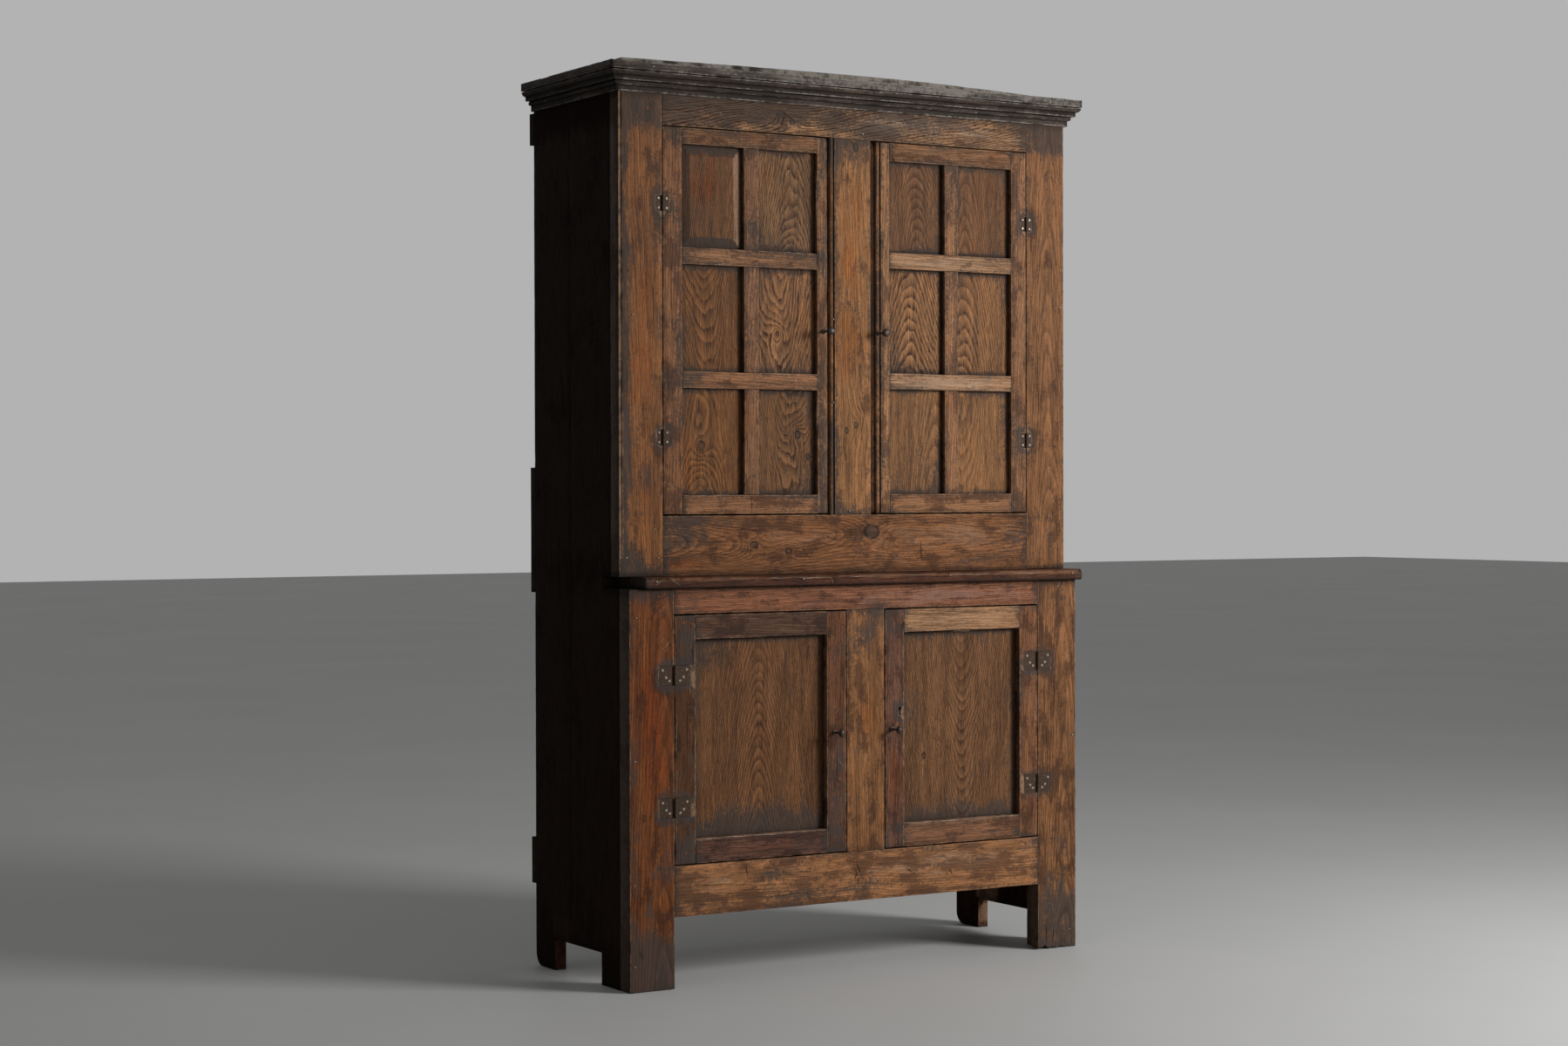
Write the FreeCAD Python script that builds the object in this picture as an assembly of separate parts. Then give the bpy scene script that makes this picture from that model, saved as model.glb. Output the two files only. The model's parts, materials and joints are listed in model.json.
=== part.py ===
# Country cupboard in two stages: four panelled doors on iron hinges, in millimetres.
# +X is to the right seen from the front, +Y to the back and +Z up. The origin is on
# the floor, at the middle of the overall width and depth.
import FreeCAD
import Part

import math
import os
from dataclasses import dataclass

Vector = FreeCAD.Vector

# Case
case_width = 1274.0
case_depth = 430.0
case_top = 2130.0
side_thickness = 31.0
side_seam_depth = 241.0
upper_frame_thickness = 40.0
lower_frame_thickness = 48.0
cutter_overrun = 5.0

# Feet, cut out of the side boards
front_foot_depth = 92.0
rear_foot_depth = 100.0
foot_height = 75.0
rear_foot_rounding = 32.0

# Waist ledge
ledge_bottom = 923.0
ledge_thickness = 27.0
ledge_front_overhang = 16.0
ledge_right_overhang = 8.0
ledge_rear_depth = 74.0
ledge_broken_end = 37.0
ledge_break_depth = 6.0
ledge_top_rounding = 9.0
ledge_bottom_rounding = 5.0
ledge_break_shares = ((0.0, -0.4), (0.22, 0.7), (0.47, -0.8), (0.71, 0.3), (1.0, -1.0))

# Upper front frame
upper_stile_width = 115.5
upper_sill_height = 140.0
upper_head_height = 136.0
upper_post_left = -62.0
upper_post_right = 54.0
post_bead_width = 11.0
stile_bead_width = 7.0
stile_bead_stop = 46.0
quirk_width = 2.0
quirk_depth = 4.0

# Lower front frame
lower_stile_width = 117.5
lower_rail_bottom = 165.0
lower_rail_height = 118.0
lower_head_height = 59.0
lower_post_left = -46.5
lower_post_right = 60.0

# Joints of the frames
frame_tenon_length = 72.0
post_tenon_share = 0.4
tenon_thickness_share = 1.0 / 3.0
frame_tenon_shoulder = 12.0
tenon_clearance = 0.2

# Cornice
cornice_projection = 34.0
fascia_height = 19.0
cornice_fillet_drop = 2.0
cornice_ovolo_height = 11.0
cornice_ovolo_projection = 32.0
cornice_middle_projection = 22.0
cornice_middle_height = 10.0
cornice_bead_projection = 14.0
cornice_bead_height = 10.0
cornice_foot_projection = 7.0
cornice_foot_height = 14.0
arc_bulge_share = 0.7071

# Top boards, worn thin at their ends
top_board_setback = 10.0
top_board_thickness = 19.0
top_board_end_thickness = 3.0
top_board_shoulder_thickness = 13.0
top_board_shoulder_width = 16.0
top_board_crown_x = 40.0
top_board_count = 3
top_board_gap = 2.0
sag_middle_shares = (0.5, 0.25)

# Back
back_board_thickness = 18.0
back_board_count = 6
back_board_gap = 1.0
back_rebate_width = 12.0
batten_thickness = 22.0
low_batten_rise = 32.0
low_batten_height = 112.0
middle_batten_drop = 20.0
middle_batten_height = 302.0
high_batten_drop = 69.0
high_batten_height = 76.0

# Boards inside
shelf_thickness = 22.0
shelf_end_clearance = 0.3
upper_shelf_count = 3
upper_shelf_setback = 18.0
lower_shelf_setback = 14.0
cleat_height = 26.0
cleat_width = 22.0
inner_board_gap = 1.0
stop_height = 10.0
stop_length = 160.0
stop_clearance = 0.5

# Doors
hinge_gap = 2.5
door_end_gap = 3.0
upper_door_thickness = 25.0
lower_door_thickness = 32.0
groove_depth = 8.0
panel_edge_thickness = 7.0
panel_clearance = 0.2
panel_expansion_gap = 0.8
panel_bevel_width = 27.0
door_tenon_share = 0.62
door_tenon_shoulder = 6.0

# Upper doors
upper_panel_recess = 13.5
upper_field_rise = 4.0
raised_field_rise = 6.0
upper_door_muntin = 40.0
upper_cross_rail = 39.0
left_hinge_stile = 50.0
left_closing_flat = 23.0
left_lip_width = 10.0
right_closing_flat = 25.5
right_bead_width = 12.0
right_lip_width = 12.0
lip_setback = 8.0
left_door_end = -65.0
right_door_end = 58.0
right_hinge_stile = 45.0
left_muntin_left = -301.0
right_muntin_left = 272.5
left_bottom_rail = 45.0
left_top_rail = 37.5
right_bottom_rail = 46.0
right_top_rail = 44.0
left_row_shares = (249.0, 249.0, 239.5)
right_row_shares = (254.5, 254.0, 221.5)

# Lower doors
lower_panel_recess = 19.0
lower_field_rise = 5.0
lower_door_stile = 54.0
lower_door_rail = 57.0
lower_left_door_end = -49.5
lower_right_door_end = 63.5

# Hinges
knuckle_clearance = 0.4
pin_clearance = 0.05
leaf_bed_gap = 0.1
barrel_notch_gap = 0.6

# Turning knobs and their catches
knob_seat_gap = 0.3
spindle_radius = 3.0
spindle_clearance = 0.06
tang_width = 4.0
tang_clearance = 0.1
collar_radius = 6.2
collar_height = 3.0
shank_radius = 3.2
throat_radius = 2.4
head_radius = 10.0
head_length = 14.0
lower_head_width = 13.0
knob_side_count = 16
upper_knob_reach = 41.0
lower_knob_reach = 39.0
upper_knob_drop = 14.0
lower_knob_drop = 43.0
upper_left_knob = -81.5
upper_right_knob = 76.0
lower_left_knob = -83.0
lower_right_knob = 81.0
head_outline_shares = ((0.84, 0.2), (1.0, 0.5), (0.86, 0.83), (0.45, 1.0))
catch_length = 45.0
catch_width = 15.0
catch_tip_width = 9.0
catch_thickness = 4.0
catch_rear_gap = 1.2

# Lock on the lower right door
lock_width = 74.0
lock_height = 62.0
lock_depth = 15.0
lock_middle_height = 615.0
lock_edge_inset = 2.0
lock_running_gap = 0.3
bolt_height = 16.0
bolt_thickness = 7.0
bolt_rise = 18.0
bolt_throw = 13.0
bolt_length = 40.0
bolt_mortise_gap = 1.2
bolt_mortise_floor = 3.0
keyhole_x = 105.0
keyhole_height = 19.0
keyhole_radius = 3.7
keyhole_slot_width = 3.8

# Planes that follow from the sizes above
half_width = case_width / 2
side_inner = half_width - side_thickness
front_reach = lower_frame_thickness + lower_knob_reach
back_reach = case_depth + batten_thickness
upper_front = (front_reach - back_reach) / 2
lower_front = upper_front - lower_frame_thickness
upper_frame_back = upper_front + upper_frame_thickness
case_back = upper_front + case_depth
back_board_front = case_back - back_board_thickness
side_seam = upper_front + side_seam_depth
ledge_top = ledge_bottom + ledge_thickness
upper_opening_bottom = ledge_top + upper_sill_height
upper_opening_top = case_top - upper_head_height
lower_opening_bottom = lower_rail_bottom + lower_rail_height
lower_opening_top = ledge_bottom - lower_head_height
upper_opening_half = half_width - upper_stile_width
lower_opening_half = half_width - lower_stile_width


@dataclass(frozen=True)
class Block:
    """An upright block between two corners."""

    x0: float
    x1: float
    y0: float
    y1: float
    z0: float
    z1: float

    def solid(self):
        """Returns the block as a solid."""
        corner = Vector(min(self.x0, self.x1), self.y0, self.z0)
        return Part.makeBox(abs(self.x1 - self.x0), self.y1 - self.y0, self.z1 - self.z0, corner)

    def grown(self, gap):
        """Returns the block made larger by a gap on every face."""
        low, high = min(self.x0, self.x1), max(self.x0, self.x1)
        return Block(low - gap, high + gap, self.y0 - gap, self.y1 + gap, self.z0 - gap, self.z1 + gap)


def outline(start, *legs):
    """Returns a closed face; a leg is the next point, or a point on an arc and its end."""
    edges = []
    here = start
    for leg in legs + (start,):
        if isinstance(leg, tuple):
            through, there = leg
            edges.append(Part.Arc(here, through, there).toShape())
        else:
            there = leg
            edges.append(Part.makeLine(here, there))
        here = there
    return Part.Face(Part.Wire(edges))


def cut_all(solid, cutters):
    """Returns the solid without the cutters, with leftover seams removed."""
    if cutters:
        solid = solid.cut(Part.makeCompound(cutters))
    return single(solid)


def join_all(solid, others):
    """Returns the solid fused with the others."""
    return single(solid.fuse(others)) if others else solid


def single(shape):
    """Returns the one solid of a shape, with leftover seams removed."""
    cleaned = shape.removeSplitter()
    return cleaned.Solids[0] if len(cleaned.Solids) == 1 else cleaned


def cylinder_y(x, y0, y1, z, radius):
    """Returns a cylinder along the depth of the case."""
    return Part.makeCylinder(radius, y1 - y0, Vector(x, y0, z), Vector(0, 1, 0))


def cylinder_z(x, y, z0, z1, radius):
    """Returns an upright cylinder."""
    return Part.makeCylinder(radius, z1 - z0, Vector(x, y, z0), Vector(0, 0, 1))


# Hinges


@dataclass(frozen=True)
class HingeSize:
    """A flush iron hinge with three knuckles."""

    height: float
    leaf_width: float
    leaf_thickness: float
    barrel_radius: float
    pin_radius: float
    axis_proud: float


upper_hinge = HingeSize(
    height=35.0, leaf_width=16.0, leaf_thickness=1.7, barrel_radius=3.4, pin_radius=1.6, axis_proud=1.5
)
lower_hinge = HingeSize(
    height=44.0, leaf_width=41.0, leaf_thickness=2.0, barrel_radius=4.0, pin_radius=2.0, axis_proud=1.8
)
upper_hinge_insets = (182.0, 181.0)
lower_hinge_insets = (135.0, 141.0)
knuckle_count = 3


@dataclass(frozen=True)
class HingePlace:
    """Where a hinge sits: its axis, the face it is let into and its middle height."""

    size: HingeSize
    axis_x: float
    face_y: float
    middle_z: float

    @property
    def axis_y(self):
        """Returns the depth of the pin's axis, a little in front of the face."""
        return self.face_y - self.size.axis_proud

    def barrel(self, radius, first, last):
        """Returns a cylinder round the axis, between two heights above the hinge's foot."""
        foot = self.middle_z - self.size.height / 2
        return cylinder_z(self.axis_x, self.axis_y, foot + first, foot + last, radius)

    def leaf(self, side, own):
        """Returns one leaf; side is -1 or 1, and own lists its knuckles from the foot up."""
        size = self.size
        pitch = size.height / knuckle_count
        leaf = Block(
            self.axis_x,
            self.axis_x + side * size.leaf_width,
            self.face_y,
            self.face_y + size.leaf_thickness,
            self.middle_z - size.height / 2,
            self.middle_z + size.height / 2,
        ).solid()
        knuckles = []
        notches = []
        for index in range(knuckle_count):
            low, high = index * pitch, (index + 1) * pitch
            if index in own:
                foot_gap = knuckle_clearance / 2 if index else 0
                head_gap = knuckle_clearance / 2 if index < knuckle_count - 1 else 0
                knuckles.append(self.barrel(size.barrel_radius, low + foot_gap, high - head_gap))
            else:
                notches.append(self.knuckle_notch(low, high))
        return cut_all(join_all(leaf, knuckles), notches)

    def fixed_leaf(self, side):
        """Returns the leaf on the frame: the outer knuckles, with the pin riveted into them."""
        size = self.size
        pin = self.barrel(size.pin_radius, 0, size.height)
        return join_all(self.leaf(side, range(0, knuckle_count, 2)), [pin])

    def turning_leaf(self, side):
        """Returns the leaf on the door: the inner knuckles, bored to turn on the pin."""
        size = self.size
        bore = self.barrel(size.pin_radius + pin_clearance, 0, size.height)
        return cut_all(self.leaf(side, range(1, knuckle_count, 2)), [bore])

    def knuckle_notch(self, first, last):
        """Returns the notch in a leaf for the other leaf's knuckle, between two heights."""
        foot = self.middle_z - self.size.height / 2
        reach = self.size.barrel_radius + knuckle_clearance
        gap = knuckle_clearance / 2
        return Block(
            self.axis_x - reach,
            self.axis_x + reach,
            self.axis_y - reach,
            self.axis_y + reach,
            foot + first - gap,
            foot + last + gap,
        ).solid()

    def bed(self):
        """Returns the recess for both leaves and the barrel, cut from the wood round the hinge."""
        size = self.size
        reach = size.leaf_width + leaf_bed_gap
        low = self.middle_z - size.height / 2 - leaf_bed_gap
        high = self.middle_z + size.height / 2 + leaf_bed_gap
        back = self.face_y + size.leaf_thickness + leaf_bed_gap
        front = self.face_y - cutter_overrun
        slot = Block(self.axis_x - reach, self.axis_x + reach, front, back, low, high)
        wide = size.barrel_radius + barrel_notch_gap
        notch = Block(self.axis_x - wide, self.axis_x + wide, front, self.axis_y + wide, low, high)
        return join_all(slot.solid(), [notch.solid()])


def upper_hinge_places(side):
    """Returns the hinges of one upper door; side is -1 for a door hung on the left."""
    axis_x = side * (upper_opening_half - hinge_gap / 2)
    foot, head = upper_hinge_insets
    heights = (upper_opening_bottom + foot, upper_opening_top - head)
    return [HingePlace(upper_hinge, axis_x, upper_front, height) for height in heights]


def lower_hinge_places(side):
    """Returns the hinges of one lower door; side is -1 for a door hung on the left."""
    axis_x = side * (lower_opening_half - hinge_gap / 2)
    foot, head = lower_hinge_insets
    heights = (lower_opening_bottom + foot, lower_opening_top - head)
    return [HingePlace(lower_hinge, axis_x, lower_front, height) for height in heights]


hinges = {
    "upper_left": upper_hinge_places(-1),
    "upper_right": upper_hinge_places(1),
    "lower_left": lower_hinge_places(-1),
    "lower_right": lower_hinge_places(1),
}


def hinge_beds(*doors):
    """Returns the recesses of the hinges of the named doors."""
    return [place.bed() for door in doors for place in hinges[door]]


# Sides


def side_front_board(side):
    """Returns the front board of a side, notched for the ledge and cut out over the feet."""
    notch_back = upper_front + ledge_rear_depth
    points = [
        (upper_front, 0),
        (upper_front, ledge_bottom),
        (notch_back, ledge_bottom),
        (notch_back, ledge_top),
        (upper_frame_back, ledge_top),
        (upper_frame_back, case_top),
        (side_seam, case_top),
        (side_seam, foot_height),
        (upper_front + front_foot_depth, foot_height),
        (upper_front + front_foot_depth, 0),
    ]
    return side_plank([Vector(0, y, z) for y, z in points], side)


def side_rear_board(side):
    """Returns the rear board of a side, rebated for the back and rounded at its heel."""
    foot_front = case_back - rear_foot_depth
    heel = rear_foot_rounding * (1 - arc_bulge_share)
    legs = [
        Vector(0, side_seam, case_top),
        Vector(0, case_back, case_top),
        Vector(0, case_back, rear_foot_rounding),
        (Vector(0, case_back - heel, heel), Vector(0, case_back - rear_foot_rounding, 0)),
        Vector(0, foot_front, 0),
        Vector(0, foot_front, foot_height),
    ]
    board = side_plank([Vector(0, side_seam, foot_height)] + legs, side)
    rebate = Block(
        side * (side_inner - cutter_overrun),
        side * (side_inner + back_rebate_width),
        back_board_front,
        case_back + cutter_overrun,
        lower_rail_bottom,
        case_top + cutter_overrun,
    )
    return cut_all(board, [rebate.solid()])


def side_plank(points, side):
    """Returns a plank of the side's thickness from its outline; side is -1 or 1."""
    face = outline(*points)
    face.translate(Vector(-half_width if side < 0 else side_inner, 0, 0))
    return face.extrude(Vector(side_thickness, 0, 0))


# Front frames


def frame_tenon(end, reach, front, thickness, z0, z1):
    """Returns the tenon of a rail from its shoulder at end, reaching sideways."""
    cheek = thickness * (1 - tenon_thickness_share) / 2
    return Block(
        end,
        end + reach,
        front + cheek,
        front + thickness - cheek,
        z0 + frame_tenon_shoulder,
        z1 - frame_tenon_shoulder,
    )


def post_tenon(x0, x1, front, thickness, z0, z1):
    """Returns the tenon at one end of an upright post."""
    cheek = thickness * (1 - tenon_thickness_share) / 2
    return Block(
        x0 + frame_tenon_shoulder,
        x1 - frame_tenon_shoulder,
        front + cheek,
        front + thickness - cheek,
        z0,
        z1,
    )


@dataclass(frozen=True)
class FrontFrame:
    """A front frame: two stiles, two rails and a centre post, tenoned together."""

    front: float
    thickness: float
    half_opening: float
    stile_bottom: float
    stile_top: float
    rail_bottom: float
    opening_bottom: float
    opening_top: float
    post_left: float
    post_right: float

    def rail_tenons(self, z0, z1):
        """Returns the tenons at both ends of a rail."""
        left = frame_tenon(-self.half_opening, -frame_tenon_length, self.front, self.thickness, z0, z1)
        right = frame_tenon(self.half_opening, frame_tenon_length, self.front, self.thickness, z0, z1)
        return [left, right]

    def post_tenons(self):
        """Returns the tenons at the foot and the head of the post."""
        foot_depth = (self.opening_bottom - self.rail_bottom) * post_tenon_share
        head_depth = (self.stile_top - self.opening_top) * post_tenon_share
        spans = (
            (self.opening_bottom - foot_depth, self.opening_bottom),
            (self.opening_top, self.opening_top + head_depth),
        )
        return [
            post_tenon(self.post_left, self.post_right, self.front, self.thickness, z0, z1)
            for z0, z1 in spans
        ]

    def stile(self, side, beds):
        """Returns a stile with its mortises and hinge recesses."""
        block = Block(
            side * self.half_opening,
            side * half_width,
            self.front,
            self.front + self.thickness,
            self.stile_bottom,
            self.stile_top,
        )
        tenons = self.rail_tenons(self.opening_top, self.stile_top)
        tenons += self.rail_tenons(self.rail_bottom, self.opening_bottom)
        mortises = [tenon.grown(tenon_clearance).solid() for tenon in tenons]
        return cut_all(block.solid(), mortises + beds)

    def rail(self, z0, z1):
        """Returns a rail with its tenons, mortised for the post."""
        block = Block(-self.half_opening, self.half_opening, self.front, self.front + self.thickness, z0, z1)
        rail = join_all(block.solid(), [tenon.solid() for tenon in self.rail_tenons(z0, z1)])
        return cut_all(rail, [tenon.grown(tenon_clearance).solid() for tenon in self.post_tenons()])

    def head_rail(self):
        """Returns the rail over the doors."""
        return self.rail(self.opening_top, self.stile_top)

    def foot_rail(self):
        """Returns the rail under the doors."""
        return self.rail(self.rail_bottom, self.opening_bottom)

    def post(self, section):
        """Returns the centre post, made from its plan section."""
        section.translate(Vector(0, 0, self.opening_bottom))
        shaft = section.extrude(Vector(0, 0, self.opening_top - self.opening_bottom))
        return join_all(shaft, [tenon.solid() for tenon in self.post_tenons()])


upper_frame = FrontFrame(
    front=upper_front,
    thickness=upper_frame_thickness,
    half_opening=upper_opening_half,
    stile_bottom=ledge_top,
    stile_top=case_top,
    rail_bottom=ledge_top,
    opening_bottom=upper_opening_bottom,
    opening_top=upper_opening_top,
    post_left=upper_post_left,
    post_right=upper_post_right,
)
lower_frame = FrontFrame(
    front=lower_front,
    thickness=lower_frame_thickness,
    half_opening=lower_opening_half,
    stile_bottom=0,
    stile_top=ledge_bottom,
    rail_bottom=lower_rail_bottom,
    opening_bottom=lower_opening_bottom,
    opening_top=lower_opening_top,
    post_left=lower_post_left,
    post_right=lower_post_right,
)


def beaded_corner(corner_x, front, width, side):
    """Returns the points of a corner bead and its quirk, from the member's side to its face.

    The corner is at corner_x, and the member lies towards side, -1 or 1.
    """
    radius = width / 2
    inset = radius * (1 - arc_bulge_share)
    inner = corner_x + side * width
    quirk_end = inner + side * quirk_width
    return [
        Vector(corner_x, front + radius, 0),
        (Vector(corner_x + side * inset, front + inset, 0), Vector(corner_x + side * radius, front, 0)),
        (Vector(inner - side * inset, front + inset, 0), Vector(inner, front + radius, 0)),
        Vector(inner, front + quirk_depth + radius / 2, 0),
        Vector(quirk_end, front + quirk_depth + radius / 2, 0),
        Vector(quirk_end, front, 0),
    ]


def upper_post():
    """Returns the upper centre post, beaded along its left edge."""
    back = upper_frame_back
    bead = beaded_corner(upper_post_left, upper_front, post_bead_width, 1)
    section = outline(
        Vector(upper_post_left, back, 0),
        *bead,
        Vector(upper_post_right, upper_front, 0),
        Vector(upper_post_right, back, 0),
    )
    return upper_frame.post(section)


def lower_post():
    """Returns the lower centre post, mortised for the lock's bolt."""
    section = outline(
        Vector(lower_post_left, lower_front, 0),
        Vector(lower_post_right, lower_front, 0),
        Vector(lower_post_right, upper_front, 0),
        Vector(lower_post_left, upper_front, 0),
    )
    return cut_all(lower_frame.post(section), [bolt_mortise().solid()])


def upper_left_stile():
    """Returns the upper left stile, with a stopped bead along its outer edge."""
    stile = upper_frame.stile(-1, hinge_beds("upper_left"))
    quirk_x = -half_width + stile_bead_width
    quirk = Block(
        quirk_x,
        quirk_x + quirk_width,
        upper_front - cutter_overrun,
        upper_front + quirk_width,
        ledge_top + stile_bead_stop,
        case_top + cutter_overrun,
    )
    return cut_all(stile, [quirk.solid()])


# Waist ledge


def waist_ledge():
    """Returns the ledge board, rounded in front and broken away at its left end."""
    left = -half_width + ledge_broken_end
    right = half_width + ledge_right_overhang
    front = lower_front - ledge_front_overhang
    back = upper_front + ledge_rear_depth
    broken = [
        Vector(left + out * ledge_break_depth, front + along * (back - front), ledge_bottom)
        for along, out in ledge_break_shares
    ]
    plan = outline(*broken, Vector(right, back, ledge_bottom), Vector(right, front, ledge_bottom))
    board = plan.extrude(Vector(0, 0, ledge_thickness))
    for height, rounding in ((ledge_top, ledge_top_rounding), (ledge_bottom, ledge_bottom_rounding)):
        board = single(board.makeFillet(rounding, front_edges(board, front, height)))
    return board


def front_edges(solid, front, height):
    """Returns the long edge of a board at its front face and a given height."""
    near = ledge_break_depth / 2
    found = []
    for edge in solid.Edges:
        box = edge.BoundBox
        level = abs(box.ZMin - height) < near and abs(box.ZMax - height) < near
        if level and abs(box.YMax - front) < near and box.XLength > half_width:
            found.append(edge)
    return found


# Cornice and top


def cornice_profile():
    """Returns the legs of the cornice's outline as (projection, height), from the top back corner."""
    fascia = case_top - fascia_height
    ovolo_top = fascia - cornice_fillet_drop
    ovolo_foot = ovolo_top - cornice_ovolo_height
    middle_foot = ovolo_foot - cornice_middle_height
    bead_foot = middle_foot - cornice_bead_height
    foot = bead_foot - cornice_foot_height
    ovolo_bulge = cornice_middle_projection + arc_bulge_share * (
        cornice_ovolo_projection - cornice_middle_projection
    )
    ovolo_middle = ovolo_top - arc_bulge_share * cornice_ovolo_height
    bead_middle = (middle_foot + bead_foot) / 2
    bead_back = (cornice_bead_projection + cornice_foot_projection) / 2
    return [
        (0, case_top),
        (cornice_projection, case_top),
        (cornice_projection, fascia),
        (cornice_middle_projection, fascia),
        (cornice_middle_projection, ovolo_top),
        (cornice_ovolo_projection, ovolo_top),
        ((ovolo_bulge, ovolo_middle), (cornice_middle_projection, ovolo_foot)),
        (cornice_middle_projection, middle_foot),
        (bead_back, middle_foot),
        ((cornice_bead_projection, bead_middle), (bead_back, bead_foot)),
        (cornice_foot_projection, bead_foot),
        (cornice_foot_projection, foot),
        (0, foot),
    ]


def moulding(place, length):
    """Returns a straight moulding whose profile points are put in place by a function."""
    legs = [
        tuple(place(*point) for point in leg) if isinstance(leg[0], tuple) else place(*leg)
        for leg in cornice_profile()
    ]
    return outline(*legs).extrude(length)


def cornice_front():
    """Returns the front run of the cornice, mitred at both ends."""
    reach = half_width + cornice_projection
    run = moulding(lambda out, up: Vector(-reach, upper_front - out, up), Vector(2 * reach, 0, 0))
    return cut_all(run, [mitre_waste(-1, reach), mitre_waste(1, reach)])


def mitre_waste(side, reach):
    """Returns the wedge beyond a mitre, from which the front run is cut back."""
    low = case_top - cornice_height() - cutter_overrun
    inner = Vector(side * half_width, upper_front, low)
    outer = Vector(side * reach, upper_front - cornice_projection, low)
    beyond = Vector(side * (reach + cutter_overrun), upper_front - cornice_projection, low)
    square = Vector(side * (reach + cutter_overrun), upper_front, low)
    wedge = outline(inner, outer, beyond, square)
    return wedge.extrude(Vector(0, 0, cornice_height() + 2 * cutter_overrun))


def cornice_height():
    """Returns the height of the whole cornice."""
    drops = (fascia_height, cornice_fillet_drop, cornice_ovolo_height, cornice_middle_height)
    return sum(drops) + cornice_bead_height + cornice_foot_height


def cornice_return(side):
    """Returns the run of the cornice along a side, mitred at the front."""
    front = upper_front - cornice_projection
    run = moulding(
        lambda out, up: Vector(side * (half_width + out), front, up), Vector(0, case_back - front, 0)
    )
    low = case_top - cornice_height() - cutter_overrun
    reach = half_width + cornice_projection
    inner = Vector(side * half_width, upper_front, low)
    outer = Vector(side * reach, front, low)
    corner = Vector(side * half_width, front, low)
    wedge = outline(inner, outer, corner)
    return cut_all(run, [wedge.extrude(Vector(0, 0, cornice_height() + 2 * cutter_overrun))])


def top_boards():
    """Returns the loose-laid top boards, which sag and wear thin towards their ends."""
    crown = Vector(top_board_crown_x, 0, case_top + top_board_thickness)
    worn_end = Vector(-half_width, 0, case_top + top_board_end_thickness)
    shoulder = Vector(
        -half_width + top_board_shoulder_width, 0, case_top + top_board_shoulder_thickness
    )
    thin_end = Vector(half_width, 0, case_top + top_board_end_thickness)
    profile = outline(
        Vector(-half_width, 0, case_top),
        worn_end,
        shoulder,
        (sag_middle(crown, shoulder), crown),
        (sag_middle(crown, thin_end), thin_end),
        Vector(half_width, 0, case_top),
    )
    front = upper_front + top_board_setback
    pitch = (case_back - front + top_board_gap) / top_board_count
    boards = []
    for index in range(top_board_count):
        board = profile.copy()
        board.translate(Vector(0, front + index * pitch, 0))
        boards.append(board.extrude(Vector(0, pitch - top_board_gap, 0)))
    return boards


def sag_middle(crown, end):
    """Returns the middle point of a sagging line that lies level at its crown."""
    along, down = sag_middle_shares
    return Vector(crown.x + (end.x - crown.x) * along, 0, crown.z + (end.z - crown.z) * down)


# Back


def back_boards():
    """Returns the upright boards of the back, set in the rebates of the sides."""
    reach = side_inner + back_rebate_width - shelf_end_clearance
    pitch = (2 * reach + back_board_gap) / back_board_count
    return [
        Block(
            -reach + index * pitch,
            -reach + (index + 1) * pitch - back_board_gap,
            back_board_front,
            case_back,
            lower_rail_bottom,
            case_top,
        ).solid()
        for index in range(back_board_count)
    ]


def back_battens():
    """Returns the battens nailed across the back."""
    spans = (
        (lower_rail_bottom + low_batten_rise, low_batten_height),
        (ledge_bottom - middle_batten_drop, middle_batten_height),
        (case_top - high_batten_drop - high_batten_height, high_batten_height),
    )
    back = case_back + batten_thickness
    return [Block(-half_width, half_width, case_back, back, z, z + high).solid() for z, high in spans]


# Boards inside


def inner_board(front, z0, z1):
    """Returns a board or shelf that spans between the sides, from front to the back boards."""
    reach = side_inner - shelf_end_clearance
    return Block(-reach, reach, front, back_board_front - inner_board_gap / 2, z0, z1).solid()


def upper_shelf_tops():
    """Returns the heights of the tops of the upper shelves, evenly spaced."""
    spacing = (case_top - ledge_top - upper_shelf_count * shelf_thickness) / (upper_shelf_count + 1)
    return [ledge_top + (index + 1) * (spacing + shelf_thickness) for index in range(upper_shelf_count)]


def lower_shelf_top():
    """Returns the height of the top of the lower shelf, halfway up the lower stage."""
    return (lower_opening_bottom + ledge_bottom + shelf_thickness) / 2


def upper_shelves():
    """Returns the shelves of the upper stage."""
    front = upper_frame_back + upper_shelf_setback
    return [inner_board(front, top - shelf_thickness, top) for top in upper_shelf_tops()]


def shelf_cleats():
    """Returns the cleats nailed to the sides under every shelf and floor board."""
    tops = [top - shelf_thickness for top in upper_shelf_tops()]
    spans = [(upper_frame_back + upper_shelf_setback, top) for top in tops]
    spans.append((upper_front + lower_shelf_setback, lower_shelf_top() - shelf_thickness))
    spans.append((upper_front, lower_opening_bottom - shelf_thickness))
    spans.append((upper_front + lower_shelf_setback, ledge_bottom))
    return [
        Block(
            side * side_inner,
            side * (side_inner - cleat_width),
            front,
            back_board_front,
            top - cleat_height,
            top,
        ).solid()
        for front, top in spans
        for side in (-1, 1)
    ]


def waist_boards():
    """Returns the two boards behind the ledge that close the waist."""
    front = upper_front + ledge_rear_depth
    middle = (front + back_board_front) / 2
    reach = side_inner - shelf_end_clearance
    spans = ((front, middle - inner_board_gap), (middle, back_board_front))
    return [Block(-reach, reach, y0, y1, ledge_bottom, ledge_top).solid() for y0, y1 in spans]


def floor_boards():
    """Returns the two floor boards of the lower stage."""
    middle = (upper_front + back_board_front) / 2
    reach = side_inner - shelf_end_clearance
    spans = ((upper_front, middle - inner_board_gap), (middle, back_board_front))
    low = lower_opening_bottom - shelf_thickness
    return [Block(-reach, reach, y0, y1, low, lower_opening_bottom).solid() for y0, y1 in spans]


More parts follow.
